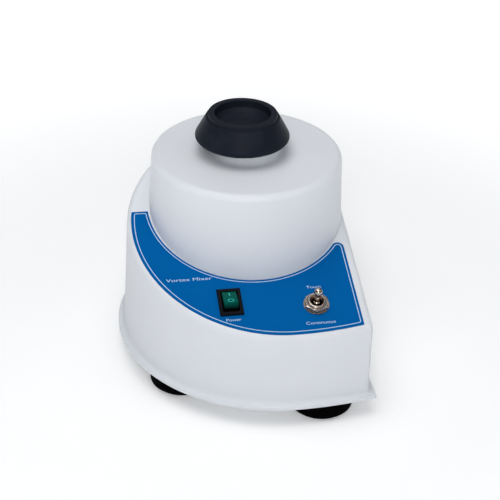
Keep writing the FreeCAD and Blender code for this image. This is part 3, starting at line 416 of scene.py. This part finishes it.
def crystals(made):
    cells = made.node("ShaderNodeTexVoronoi", {"feature": "F1"},
                      {"Vector": made.spot, "Scale": 190.0}, "Color")
    return made.node("ShaderNodeSeparateColor", {}, {0: cells}) * 0.7 + made.noise(500, 2) * 0.3


def sanded(made):
    return made.noise(900, 4)


def stacked(made):
    lamination = 0.5 * MM
    sheets = (made.along("Z") * (2 * math.pi / lamination)).sine()
    return sheets * 0.35 + 0.5 + made.noise(400, 2) * 0.15


# slot: name, dark colour, bright colour, roughness, pattern, relief, then maybe the tarnish and its share
metals = {
    # nickel's dark and bright colours are darker than real nickel: a painted dark reflection
    "nickel_plate": ("nickel_plate", (0.36, 0.295, 0.25), (0.64, 0.56, 0.50), 0.15, brushed, 0.006 * MM),
    "zinc_steel": ("zinc_plated_steel", (0.46, 0.48, 0.50), (0.66, 0.68, 0.70), 0.34, crystals, 0.01 * MM),
    "bearing_steel": ("ground_steel", (0.55, 0.55, 0.56), (0.72, 0.72, 0.73), 0.12, brushed, 0.004 * MM),
    "lamination_steel": ("stacked_laminations", (0.16, 0.15, 0.15), (0.42, 0.40, 0.39), 0.38, stacked,
                         0.05 * MM, (0.16, 0.07, 0.03), 0.3),
    "cast_aluminium": ("cast_aluminium", (0.42, 0.43, 0.44), (0.60, 0.61, 0.62), 0.46, sanded, 0.08 * MM),
    "tin_brass": ("tinned_brass", (0.62, 0.50, 0.26), (0.80, 0.68, 0.40), 0.22, brushed, 0.006 * MM)}
for slot, look in metals.items():
    finishes[slot] = metal(*look)
print(len(metals), "metals:", ", ".join(metals))

# %% [markdown]
# ## Windings, nylon, glass and the capacitor's can
# These are inside the housing, and show only when the cover is off or the fuse drawer is out. Modelling
# hundreds of turns of wire would be slow for a part so hidden, so the enamelled copper gets a fine stripe
# as its finish. Natural nylon is a milky white that lets light in. The fuse is a glass tube with metal
# ends, told apart by the place along the tube. The capacitor wears a grey sleeve.

# %% Inner finishes
copper = Finish("enamelled_copper", Metallic=0.75, Coat_Weight=0.6, Coat_Roughness=0.15)
lay = copper.node("ShaderNodeTexWave", {"wave_type": "BANDS", "bands_direction": "DIAGONAL"},
                  {"Vector": copper.spot, "Scale": 420.0, "Distortion": 2.5, "Detail": 2.0})
finishes["copper_winding"] = copper.done(
    Base_Color=copper.mix(lay, (0.16, 0.045, 0.015), (0.62, 0.24, 0.09)), Roughness=0.25 + lay * 0.2,
    Normal=copper.bump(lay, 0.25 * MM, 0.7))

milky = Finish("natural_nylon", Specular_IOR_Level=0.45, Subsurface_Weight=0.2, Subsurface_Scale=2 * MM)
haze = milky.noise(240, 3)
finishes["nylon_natural"] = milky.done(
    Base_Color=milky.mix(haze, (0.62, 0.60, 0.53), (0.74, 0.72, 0.66)), Roughness=0.4 + haze * 0.15,
    Normal=milky.bump(milky.noise(1800, 2), 0.02 * MM, 0.3, bevel=0.2 * MM))

fuse_middle = (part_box("fuse")[0].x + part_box("fuse")[1].x) / 2
glass = Finish("fuse_glass", Specular_IOR_Level=0.5, IOR=1.5)
smear = glass.noise(300, 3)
ends = abs(glass.along("X") - fuse_middle).between(4.8 * MM, 5.2 * MM)
finishes["fuse_glass"] = glass.done(
    Base_Color=glass.mix(ends, glass.mix(smear, (0.50, 0.56, 0.56), (0.62, 0.68, 0.68)), (0.74, 0.72, 0.68)),
    Metallic=ends, Roughness=0.08 + smear * 0.12 + ends * 0.1,
    Normal=glass.bump(smear, 0.02 * MM, 0.3))

sleeve = Finish("capacitor_sleeve", Specular_IOR_Level=0.5)
crease = sleeve.noise(150, 4)
finishes["capacitor_grey"] = sleeve.done(
    Base_Color=sleeve.mix(crease, (0.16, 0.17, 0.18), (0.25, 0.26, 0.27)), Roughness=0.3 + crease * 0.2,
    Normal=sleeve.bump(crease, 0.1 * MM, 0.3, bevel=0.3 * MM))
print("fuse's middle at X", round(fuse_middle / MM, 2), "mm")

# %% [markdown]
# ## Printing inks
# The border line and the words are screen printed in white. Ink is thin and slightly uneven, so the blue
# shows through it a little, and its surface is duller than the sheet. The signs on the rocker's button are
# pale green, pad printed, and a little worn. Mixing in some of the colour below is cheaper than making the
# ink see-through, and looks the same.

# %% Inks
print_ink = Finish("white_ink", Specular_IOR_Level=0.3)
thin = print_ink.noise(1400, 3)
finishes["ink"] = print_ink.done(
    Base_Color=print_ink.mix(thin, (0.40, 0.56, 0.80), (0.60, 0.73, 0.88)), Roughness=0.5 + thin * 0.15,
    Normal=print_ink.bump(thin, 0.01 * MM, 0.3))

sign_ink = Finish("rocker_marks", Specular_IOR_Level=0.05)
worn = sign_ink.noise(900, 3)
finishes["rocker_marks"] = sign_ink.done(
    Base_Color=sign_ink.mix(worn, (0.010, 0.33, 0.29), (0.04, 0.52, 0.46)), Roughness=0.35 + worn * 0.15,
    Normal=sign_ink.bump(worn, 0.01 * MM, 0.3))
print("inks:", print_ink.material.name, sign_ink.material.name)

# %% [markdown]
# ## Dressing the solid parts
# The record says which material slot each solid part takes its finish from. A finish could be given to
# each part by hand, but a loop over the record can't miss one.

# %% Dress the solid parts
slot_of = {row["node"]: row["material_slot"] for row in frame["record"]["subparts"]}
for name, part in nodes.items():
    part.data.materials.clear()
    part.data.materials.append(finishes[slot_of[name]])
print(len(finishes), "finishes on", len(slot_of), "solid parts")

# %% [markdown]
# ## Outlines with soft corners
# CAD gave the cup and the feet crisp corners, and moulded rubber has none. A bevel modifier would round
# them all alike. Here every corner of an outline carries its own radius as a third number, and an arc takes
# the corner's place.

# %% Softened outlines
def softened(outline, steps=6):
    """Points along an outline of corners in millimetres, with an arc where a corner has a third number."""
    points = []
    for n, corner in enumerate(outline):
        spot = Vector(corner[:2])
        if len(corner) == 2:
            points.append(spot)
            continue
        back = (Vector(outline[n - 1][:2]) - spot).normalized()
        ahead = (Vector(outline[(n + 1) % len(outline)][:2]) - spot).normalized()
        half = back.angle(ahead) / 2
        centre = spot + (back + ahead).normalized() * corner[2] / math.sin(half)
        reach = corner[2] / math.tan(half)
        first, last = spot + back * reach - centre, spot + ahead * reach - centre
        points += [centre + first.slerp(last, k / steps) * corner[2] for k in range(steps + 1)]
    return [point * MM for point in points]


soft_square = softened([(0, 0, 2), (10, 0, 2), (10, 10, 2), (0, 10, 2)])
print("a square with soft corners has", len(soft_square), "points")

# %% [markdown]
# ## A lathe
# The cup, the feet, the bushing and the lever are round, so each is one outline spun about its axis. The
# Screw modifier could spin it, but a few lines that lay ring after ring of points also serve for nuts,
# screws and springs. A ring on the axis is a single point. The number of steps round the axis is high,
# because the cup's rim is seen from close by.

# %% Rings and lathe
def join_rings(form, rings, closed=False):
    """Faces between rings of points that follow each other. A ring may be a single point."""
    for low, high in zip(rings, rings[1:] + rings[:1] if closed else rings[1:]):
        for n in range(max(len(low), len(high))):
            corners = [low[n % len(low)], low[(n + 1) % len(low)],
                       high[(n + 1) % len(high)], high[n % len(high)]]
            form.faces.new(list(dict.fromkeys(corners)))


def lathe(points, closed=False, steps=144):
    """A form spun about the upright axis from (radius, height) points."""
    form = bmesh.new()
    rings = []
    for radius, height in points:
        count = 1 if radius < 1e-7 else steps
        angles = [2 * math.pi * n / steps for n in range(count)]
        rings.append([form.verts.new((radius * math.cos(a), radius * math.sin(a), height)) for a in angles])
    join_rings(form, rings, closed)
    return form


# %% [markdown]
# ## From a form to a piece
# Every new piece goes the same way: its faces are turned outwards, it is shaded smooth except across sharp
# corners, it gets its finish, and it rides on a body of the machine. One helper does this, so that no step
# is forgotten.

# %% Pieces
def add_piece(name, form, body, slot, place=None, finish=None, sharp=35):
    """Turn a form into a named piece that rides on a body, with the finish of its material slot."""
    bmesh.ops.recalc_face_normals(form, faces=form.faces)
    mesh = bpy.data.meshes.new(name)
    form.to_mesh(mesh)
    form.free()
    mesh.materials.append(finish or finishes[slot])
    mesh.shade_smooth()
    mesh.set_sharp_from_angle(angle=math.radians(sharp))
    piece = bpy.data.objects.new(name, mesh)
    scene.collection.objects.link(piece)
    piece.matrix_world = place or Matrix()
    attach(piece, body)
    return piece


# %% [markdown]
# ## The rubber cup
# The cup sits off the motor's axis, because the crank pin throws it sideways. Its cone ends in a thin
# step, and above that stands a flat rim ring round the bowl. The bowl is where a tube's end is pressed,
# so it curves in gently and has no corner. It is all round, so the lathe makes it in one go. Heights are
# counted from the drum's top.

# %% Cup
cup_low, cup_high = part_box("rubber_cup")
cup_axis = (cup_low + cup_high) / 2
cup_underside = [(0, 14.5), (22, 14.5), (22, 11.5), (27.6, 11.5), (27.6, 9.5, 0.3), (29.8, 9.5, 0.6)]
cup_cone = [(31.1, 11, 0.8), (31.1, 12.4, 2.0), (24.2, 24.9, 0.5)]
cup_rim = [(22.75, 25.2, 0.3), (22.65, 27.5, 0.4), (18.4, 27.5, 0.5)]
cup_bowl = [(18.0, 22.8, 0.9), (15.2, 20.6, 3), (10.2, 18.5, 6), (0, 17.2)]
cup = add_piece("rubber_cup_moulded", lathe(softened(cup_underside + cup_cone + cup_rim + cup_bowl)),
                "head", "rubber_black", Matrix.Translation((cup_axis.x, cup_axis.y, drum_top)))
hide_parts("rubber_cup")
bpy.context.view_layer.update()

# %% [markdown]
# ## The feet
# Each foot is a squat bell of rubber with a bolt through it. A thin line runs round its widest part,
# where the two halves of the mould met. The tread is a flat ring with a shallow hollow inside it. The
# outline is a closed one, because the bolt's hole goes right through.

# %% Feet
foot_tread = [(2.2, 5.5), (5.6, 5.5, 0.2), (5.6, 0.6, 0.3), (12, 0.6, 0.6), (15, 0, 0.6), (18.7, 0, 1.0)]
mould_line = [(21.3, 3.35), (21.4, 3.45), (21.3, 3.55)]
foot_bell = [(21.3, 4.6, 2.0), (19.5, 8.6, 4.0), (16.1, 13.8), (2.2, 13.8)]
foot_outline = softened(foot_tread + [(21.3, 2.6, 0.5)] + mould_line + foot_bell)
for name in ("foot_front_left", "foot_front_right", "foot_rear_left", "foot_rear_right"):
    low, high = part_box(name)
    middle = (low + high) / 2
    foot = add_piece(name + "_moulded", lathe(foot_outline, closed=True, steps=96), "housing",
                     slot_of[name], Matrix.Translation((middle.x, middle.y, 0)), finishes["foot_rubber"])
    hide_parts(name)
    print(name, [round(v / MM, 1) for v in middle.xy])

# %% [markdown]
# ## The printed border
# A white line runs round inside the blue sheet's edge. It is a chain of arcs and straight runs, laid out
# in plan, and a narrow ribbon follows it a hair above the sheet. A ribbon is better than a bevelled curve
# here, because screen print is flat and has crisp sides.

# %% Border line
def arc(centre, radius, first, last, steps):
    """Points on an arc in plan, with angles in degrees."""
    angles = [math.radians(first + (last - first) * k / steps) for k in range(steps + 1)]
    return [Vector((centre[0] + radius * math.cos(a), centre[1] + radius * math.sin(a))) for a in angles]


def ribbon(path, width):
    """A flat closed ribbon along plan points in millimetres, laid out on the sloped face."""
    form = bmesh.new()
    sides = []
    for n, point in enumerate(path):
        run = (path[(n + 1) % len(path)] - path[n - 1]).normalized()
        across = Vector((-run.y, run.x)) * width / 2
        edges = [(point + across * side) * MM for side in (-1, 1)]
        sides.append([form.verts.new((edge.x, edge.y / math.cos(slope), 0)) for edge in edges])
    for one, other in zip(sides, sides[1:] + sides[:1]):
        form.faces.new((one[0], one[1], other[1], other[0]))
    return form


border_arcs = {
    "left sweep": ((26, -1.2), 92.5, 172.4, 270, 90),
    "front edge": ((26, 154.1), 247.8, 270.6, 279.3, 14),
    "front right corner": ((66.9, -89.4), 0.8, 280, 360, 6),
    "back right corner": ((65.4, -28.6), 2.3, 0, 141.8, 12),
    "round the drum": ((10, 15), 68.2, 321.0, 184.0, 110),
    "inner left corner": ((-58.9, 10.4), 0.6, 20, 90, 4),
    "outer left corner": ((-65.0, 10.4), 0.6, 90, 165, 4)}
border = [point for stretch in border_arcs.values() for point in arc(*stretch)]
add_piece("printed_border", ribbon(border, width=0.52), "housing", "housing_white",
          on_panel(0, 0, sheet_top + print_lift), finishes["ink"])
print("border has", len(border), "points on", len(border_arcs), "arcs")

# %% [markdown]
# ## The printed words
# The switches are named in white, and a general name stands by the left sweep. Blender's own font gives
# the outlines of the letters, and the letters become a flat mesh. A text object could stay a text object,
# but a mesh can be measured, and so it is fitted to the height and width that the print has.

# %% Words
def add_words(words, left, baseline, width, height):
    """Print words on the sheet, the first letter's foot at left and baseline in plan, in millimetres."""
    curve = bpy.data.curves.new("letters", "FONT")
    curve.body = words
    letters = bpy.data.objects.new("letters", curve)
    form = bmesh.new()
    form.from_mesh(bpy.data.meshes.new_from_object(letters))
    xs = [v.co.x for v in form.verts]
    ys = [v.co.y for v in form.verts]
    size = (width * MM / (max(xs) - min(xs)), height * MM / max(ys), 1)
    bmesh.ops.translate(form, verts=form.verts, vec=(-min(xs), 0, 0))
    bmesh.ops.scale(form, verts=form.verts, vec=size)
    bpy.data.objects.remove(letters)
    return add_piece("printed_" + words.lower().replace(" ", "_"), form, "housing", "housing_white",
                     on_panel(left * MM, baseline * MM, sheet_top + print_lift), finishes["ink"])


# words, left, baseline, width, height
prints = (("Power", -16.3, -82.4, 9.4, 2.1), ("Touch", 38.3, -61.1, 9.4, 2.1),
          ("Continuous", 33.1, -89.2, 18.8, 2.3), ("Vortex Mixer", -50.5, -48.6, 29.5, 2.5))
for words, left, baseline, width, height in prints:
    print(add_words(words, left, baseline, width, height).name, width, "mm wide")

# %% [markdown]
# ## Prisms, and forms made of several
# A flat-sided part is an outline drawn from the side and pushed across its width. Small details, such as
# ribs, are forms of their own that are merged into the larger one. Joining them with a boolean would give
# the same look, but it can leave torn faces where the two only touch.

# %% Prisms and merging
def prism(outline, half_width):
    """A form with its (y, z) outline in millimetres, running from side to side along X."""
    form = bmesh.new()
    ends = [[form.verts.new((x * MM, y * MM, z * MM)) for y, z in outline] for x in (-half_width, half_width)]
    join_rings(form, ends)
    for end in ends:
        form.faces.new(end)
    return form


def merge(form, other, move=(0, 0, 0)):
    """Add another form's faces to this one, moved by millimetres."""
    bmesh.ops.translate(other, verts=other.verts, vec=Vector(move) * MM)
    mesh = bpy.data.meshes.new("part")
    other.to_mesh(mesh)
    other.free()
    form.from_mesh(mesh)
    bpy.data.meshes.remove(mesh)
    return form


def middle_x(node):
    """The X of the middle of a CAD node's box."""
    low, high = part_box(node)
    return (low.x + high.x) / 2


print("rocker's middle at X", round(middle_x("rocker_body") / MM, 1), "mm")

# %% [markdown]
# ## The rocker's button
# The button is a slab of clear green plastic that tips about a pin. Its top is flat, its ends are square
# to the top, and thin ribs cross the end that stands proud. Its corners are rounded with a real bevel, and
# not only shaded round, so that they catch the light from every side. Its place is the pin, a little below
# the sheet, with Y up the slope.

# %% Rocker button
rocker_tip = math.radians(20)       # the "on" end is down at one limit, the "off" end at the other
rocker_spot = (on_panel(middle_x("rocker_body"), -68.1 * MM, -0.8 * MM)
               @ Matrix.Rotation(-rocker_tip, 4, "X"))
half_length, button_top, half_width = 6.6, 5.2, 4.55
button = prism([(-half_length, 0.9), (-2.5, -3), (2.5, -3), (half_length, 0.9), (half_length, button_top),
                (-half_length, button_top)], half_width)
bmesh.ops.bevel(button, geom=button.edges[:], offset=0.35 * MM, segments=3, profile=0.5, affect="EDGES")
rib_root, rib_crest = 0.1 - half_length, -0.12 - half_length
for n in range(6):
    low = 1.42 + 0.55 * n
    merge(button, prism([(rib_crest, low + 0.08), (rib_root, low), (rib_root, low + 0.32),
                         (rib_crest, low + 0.24)], 3.9))
rocker = add_piece("rocker_button_moulded", button, "rocker", "rocker_green", rocker_spot)
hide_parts("rocker_button")
print("rocker at", [round(v / MM, 1) for v in rocker_spot.translation])

# %% [markdown]
# ## The signs on the button
# An upright bar marks "on" and a ring marks "off", as on switches everywhere. They are printed on the
# button's top, so they are very low forms that stand a hair above it: a spun square for the ring, and a
# prism for the bar.

# %% Rocker signs
sign_foot, sign_face = button_top - 0.05, button_top + 0.04
ring_section = ((1.35, sign_foot), (1.35, sign_face), (2.0, sign_face), (2.0, sign_foot))
signs = lathe([Vector(corner) * MM for corner in ring_section], closed=True, steps=48)
bmesh.ops.translate(signs, verts=signs.verts, vec=(0, -4.2 * MM, 0))
merge(signs, prism([(1.4, sign_foot), (1.4, sign_face), (5.1, sign_face), (5.1, sign_foot)], 0.36))
add_piece("rocker_signs", signs, "rocker", "rocker_green", rocker_spot, finishes["rocker_marks"])
print("signs stand", round(sign_face - button_top, 2), "mm above the button")

# %% [markdown]
# ## The toggle's nut
# The toggle is held by a nut with its six corners turned off at a slant, which leaves the arched edges
# that every nut shows. A cylinder of six sides could be cut by a cone, but the arches come by themselves
# when the top of each point on the rim is lowered in proportion to its distance from the axis.

# %% Toggle nut
toggle_spot = on_panel(middle_x("toggle_washer"), -74.3 * MM)
nut_base, nut_face = 1.2, 3.7
slant = 0.55


def nut_form(corner, hole, flat_circle, low, high, start, steps=144):
    """A hexagonal nut in millimetres, its corners slanted off outside the flat circle."""
    form = bmesh.new()
    rings = [[] for _ in range(6)]
    for n in range(steps):
        turn = 2 * math.pi * n / steps
        side = (turn % (math.pi / 3)) - math.pi / 6
        reach = corner * math.cos(math.pi / 6) / math.cos(side)
        drop = max(0.0, reach - flat_circle) * slant
        spots = ((hole, low), (hole, high - 0.25), (hole + 0.25, high), (min(flat_circle, reach), high),
                 (reach, high - drop), (reach, low))
        for ring, (radius, height) in zip(rings, spots):
            angle = turn + start
            spot = (radius * math.cos(angle) * MM, radius * math.sin(angle) * MM, height * MM)
            ring.append(form.verts.new(spot))
    join_rings(form, rings, closed=True)
    return form


hexagon = nut_form(corner=8.2, hole=5.95, flat_circle=7.0, low=nut_base, high=nut_face,
                   start=math.radians(21))
nut = add_piece("toggle_nut_slanted", hexagon, "housing", "nickel_plate", toggle_spot, sharp=20)
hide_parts("toggle_nut")
print("toggle at", [round(v / MM, 1) for v in toggle_spot.translation])

# %% [markdown]
# ## The toggle's bushing
# The threaded bushing comes up through the nut. Above it stands the last groove of the thread, and then a
# fat rounded lip, whose mouth narrows like a funnel round the lever. Only this top shows, so one spun
# outline is enough, and the thread below is left to the nut to hide.

# %% Toggle bushing
lip = nut_face + 1.3
thread = [(4.0, -3), (5.9, -3), (5.9, nut_face - 0.2), (5.72, nut_face + 0.05), (5.9, nut_face + 0.25)]
mouth = [(5.9, lip, 0.75), (4.5, lip, 0.55), (3.45, lip - 1.7, 0.3), (3.45, lip - 2.4), (4.0, lip - 2.8)]
bushing = add_piece("toggle_bushing_turned", lathe(softened(thread + mouth, steps=8), closed=True, steps=96),
                    "housing", "nickel_plate", toggle_spot)
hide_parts("toggle_bushing")
print("bushing's lip stands", round(lip, 1), "mm above the face")

# %% [markdown]
# ## The toggle's lever
# The lever is a slim turned stem with a ball at its tip, and a ball inside the bushing on which it tilts.
# A small ring parts the two. The stem's outline has softened corners, and the tip is an arc that closes on
# the axis. The lever is made upright about its pivot, and then leans up the slope and a little to the side.

# %% Toggle lever
ball_radius, ball_height = 2.85, 12
pivot_ball = [(0, -3.5), (1.4, -3.5, 0.4), (2.6, -1.2, 0.8), (3.0, 0, 1.5), (2.6, 1.2, 0.8), (1.8, 2.6, 0.4)]
ring_and_stem = [(2.3, 3.5, 0.4), (2.3, 4.6, 0.5), (1.8, 5.2, 0.4), (1.8, 7.2, 6), (1.6, 8.8, 2), (1.7, 9.72)]
stem = softened(pivot_ball + ring_and_stem)
tip = [Vector((ball_radius * math.cos(a), ball_height + ball_radius * math.sin(a))) * MM
       for a in (math.radians(-52 + 142 * k / 24) for k in range(24))]
crown = [Vector((0, ball_height + ball_radius)) * MM]
lever_spot = (toggle_spot @ Matrix.Translation((0, 0, -2 * MM)) @ Matrix.Rotation(math.radians(-18), 4, "Z")
              @ Matrix.Rotation(math.radians(-12.5), 4, "X"))
lever = add_piece("toggle_lever_turned", lathe(stem + tip + crown, steps=64), "toggle",
                  slot_of["toggle_lever"], lever_spot)
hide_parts("toggle_lever")
print("lever is", round(ball_height + ball_radius, 2), "mm long above its pivot")

# %% [markdown]
# ## Screws under the base
# Six small screws hold the base plate, and one larger one goes through each foot. They are seen when the
# mixer is turned over. Their places are found in the solid parts, by collecting the points that hang
# together, so they need not be typed a second time.

# %% Places of separate solids
def middles(node):
    """The middle in plan of each separate solid of a CAD node, in millimetres."""
    form = bmesh.new()
    form.from_mesh(nodes[node].data)
    bmesh.ops.remove_doubles(form, verts=form.verts, dist=1e-6)
    left, found = set(form.verts), []
    while left:
        group = [left.pop()]
        for vert in group:
            for edge in vert.link_edges:
                other = edge.other_vert(vert)
                if other in left:
                    left.discard(other)
                    group.append(other)
        xs, ys = [v.co.x for v in group], [v.co.y for v in group]
        found.append(((min(xs) + max(xs)) / 2 / MM, (min(ys) + max(ys)) / 2 / MM))
    form.free()
    return sorted(found)


screw_spots = {name: middles(name) for name in ("base_plate_screws", "foot_screws")}
for name, spots in screw_spots.items():
    print(name, "at", [(round(x, 1), round(y, 1)) for x, y in spots])

# %% [markdown]
# ## Crossed heads
# A screw head is known by its cross recess. A boolean could cut it, but filling is cleaner: the flat of the
# head is filled between its rim and a cross, and the cross is joined to a smaller one sunk below it.

# %% Screws
def screw_form(radius, thick, shank, length, steps=48):
    """A screw in millimetres, its head below and its shank above, with a cross sunk in the head."""
    form = bmesh.new()
    rings = []
    turns = [2 * math.pi * n / steps for n in range(steps)]
    for reach, height in ((shank, length), (shank, 0), (radius, 0), (radius, -thick * 0.5),
                          (radius * 0.95, -thick * 0.8), (radius * 0.85, -thick)):
        spots = [Vector((reach * math.cos(a), reach * math.sin(a), height)) * MM for a in turns]
        rings.append([form.verts.new(spot) for spot in spots])
    join_rings(form, rings)
    form.faces.new(rings[0])
    arm, half = radius * 0.5, radius * 0.11
    cross = [(half, half), (half, arm), (-half, arm), (-half, half), (-arm, half), (-arm, -half),
             (-half, -half), (-half, -arm), (half, -arm), (half, -half), (arm, -half), (arm, half)]
    mouth = [form.verts.new(Vector((x, y, -thick)) * MM) for x, y in cross]
    sunk = [form.verts.new(Vector((x * 0.7, y * 0.7, -thick * 0.35)) * MM) for x, y in cross]
    join_rings(form, [mouth, sunk])
    form.faces.new(sunk)
    loops = [pair for loop in (rings[-1], mouth) for pair in zip(loop, loop[1:] + loop[:1])]
    bmesh.ops.triangle_fill(form, use_beauty=True, edges=[form.edges.get(pair) for pair in loops])
    return form


screw_sizes = {"base_plate_screws": {"radius": 4.0, "thick": 2.2, "shank": 1.55, "length": 15.5},
               "foot_screws": {"radius": 4.4, "thick": 2.7, "shank": 1.95, "length": 18.5}}
screw_seats = {"base_plate_screws": 13.8, "foot_screws": 5.5}
for name, measures in screw_sizes.items():
    screws = bmesh.new()
    for x, y in screw_spots[name]:
        merge(screws, screw_form(**measures), (x, y, screw_seats[name]))
    piece = add_piece(name + "_crossed", screws, "housing", slot_of[name], sharp=25)
    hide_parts(name)
    print(piece.name, len(piece.data.polygons), "faces")

# %% [markdown]
# ## The springs under the motor's plate
# Four springs carry the motor and give way when the cup is pressed. Real coil springs are closed flat at
# both ends, so the climb of the wire starts and stops a turn before each end. A curve with a round bevel
# could make one, but the rings of the lathe follow a helix just as well. A spring shortens while its foot
# stays put, which no rigid body can do.

# %% Springs
def spring_form(coil, wire, low, high, turns, closed_turns=1.0, steps=28, round_steps=10):
    """A coil spring in millimetres, its wire swept round the axis between two heights."""
    form = bmesh.new()
    rings = []
    for k in range(int(turns * steps) + 1):
        turn = k / steps
        climb = min(max((turn - closed_turns) / (turns - 2 * closed_turns), 0.0), 1.0)
        height = low + wire + climb * (high - low - 2 * wire)
        ring = []
        for n in range(round_steps):
            around = 2 * math.pi * n / round_steps
            reach = coil + wire * math.cos(around)
            angle = 2 * math.pi * turn
            spot = (reach * math.cos(angle), reach * math.sin(angle), height + wire * math.sin(around))
            ring.append(form.verts.new(Vector(spot) * MM))
        rings.append(ring)
    join_rings(form, rings)
    form.faces.new(rings[0])
    form.faces.new(rings[-1])
    return form


spring_low, spring_high = (corner.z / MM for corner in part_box("return_springs"))
springs = bmesh.new()
for x, y in middles("return_springs"):
    merge(springs, spring_form(coil=4.9, wire=0.6, low=spring_low, high=spring_high, turns=7.5), (x, y, 0))
coils = add_piece("return_springs_wound", springs, "housing", slot_of["return_springs"])
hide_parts("return_springs")
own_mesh(coils)

# %% [markdown]
# ## The floor
# The mixer stands on a plain pale floor, which isn't part of it, and so it is only staged. White plastic on
# a white floor would be lost. So the floor glows by itself, a painted light, and its glow is dimmer near the
# mixer, a painted shadow round it, and brighter further out. It stays paler than the housing, and the
# housing's shadow is left soft round its feet.

# %% Floor
floor_mesh = bpy.data.meshes.new("floor")
floor_mesh.from_pydata([(-20, -20, 0), (20, -20, 0), (20, 20, 0), (-20, 20, 0)], [], [(0, 1, 2, 3)])
floor = bpy.data.objects.new("floor", floor_mesh)
scene.collection.objects.link(floor)
pale = Finish("pale_floor", Specular_IOR_Level=0.2, Emission_Strength=1.0)
dust = pale.noise(3, 3)
# the floor's glow is a painted light: dim near the mixer as a painted shadow round it, brighter further out
painted_shadow_fade = pale.node("ShaderNodeVectorMath", {"operation": "LENGTH"}, {0: pale.spot}, "Value").between(0.15, 0.9)
floor_mesh.materials.append(pale.done(
    Base_Color=pale.mix(dust, (0.86, 0.86, 0.86), (0.88, 0.88, 0.88)), Roughness=0.7 + dust * 0.1,
    Emission_Color=pale.mix(painted_shadow_fade, (0.24, 0.245, 0.25), (0.95, 0.96, 0.97))))
print("floor has", len(pale.tree.nodes), "nodes")

# %% [markdown]
# ## Closing
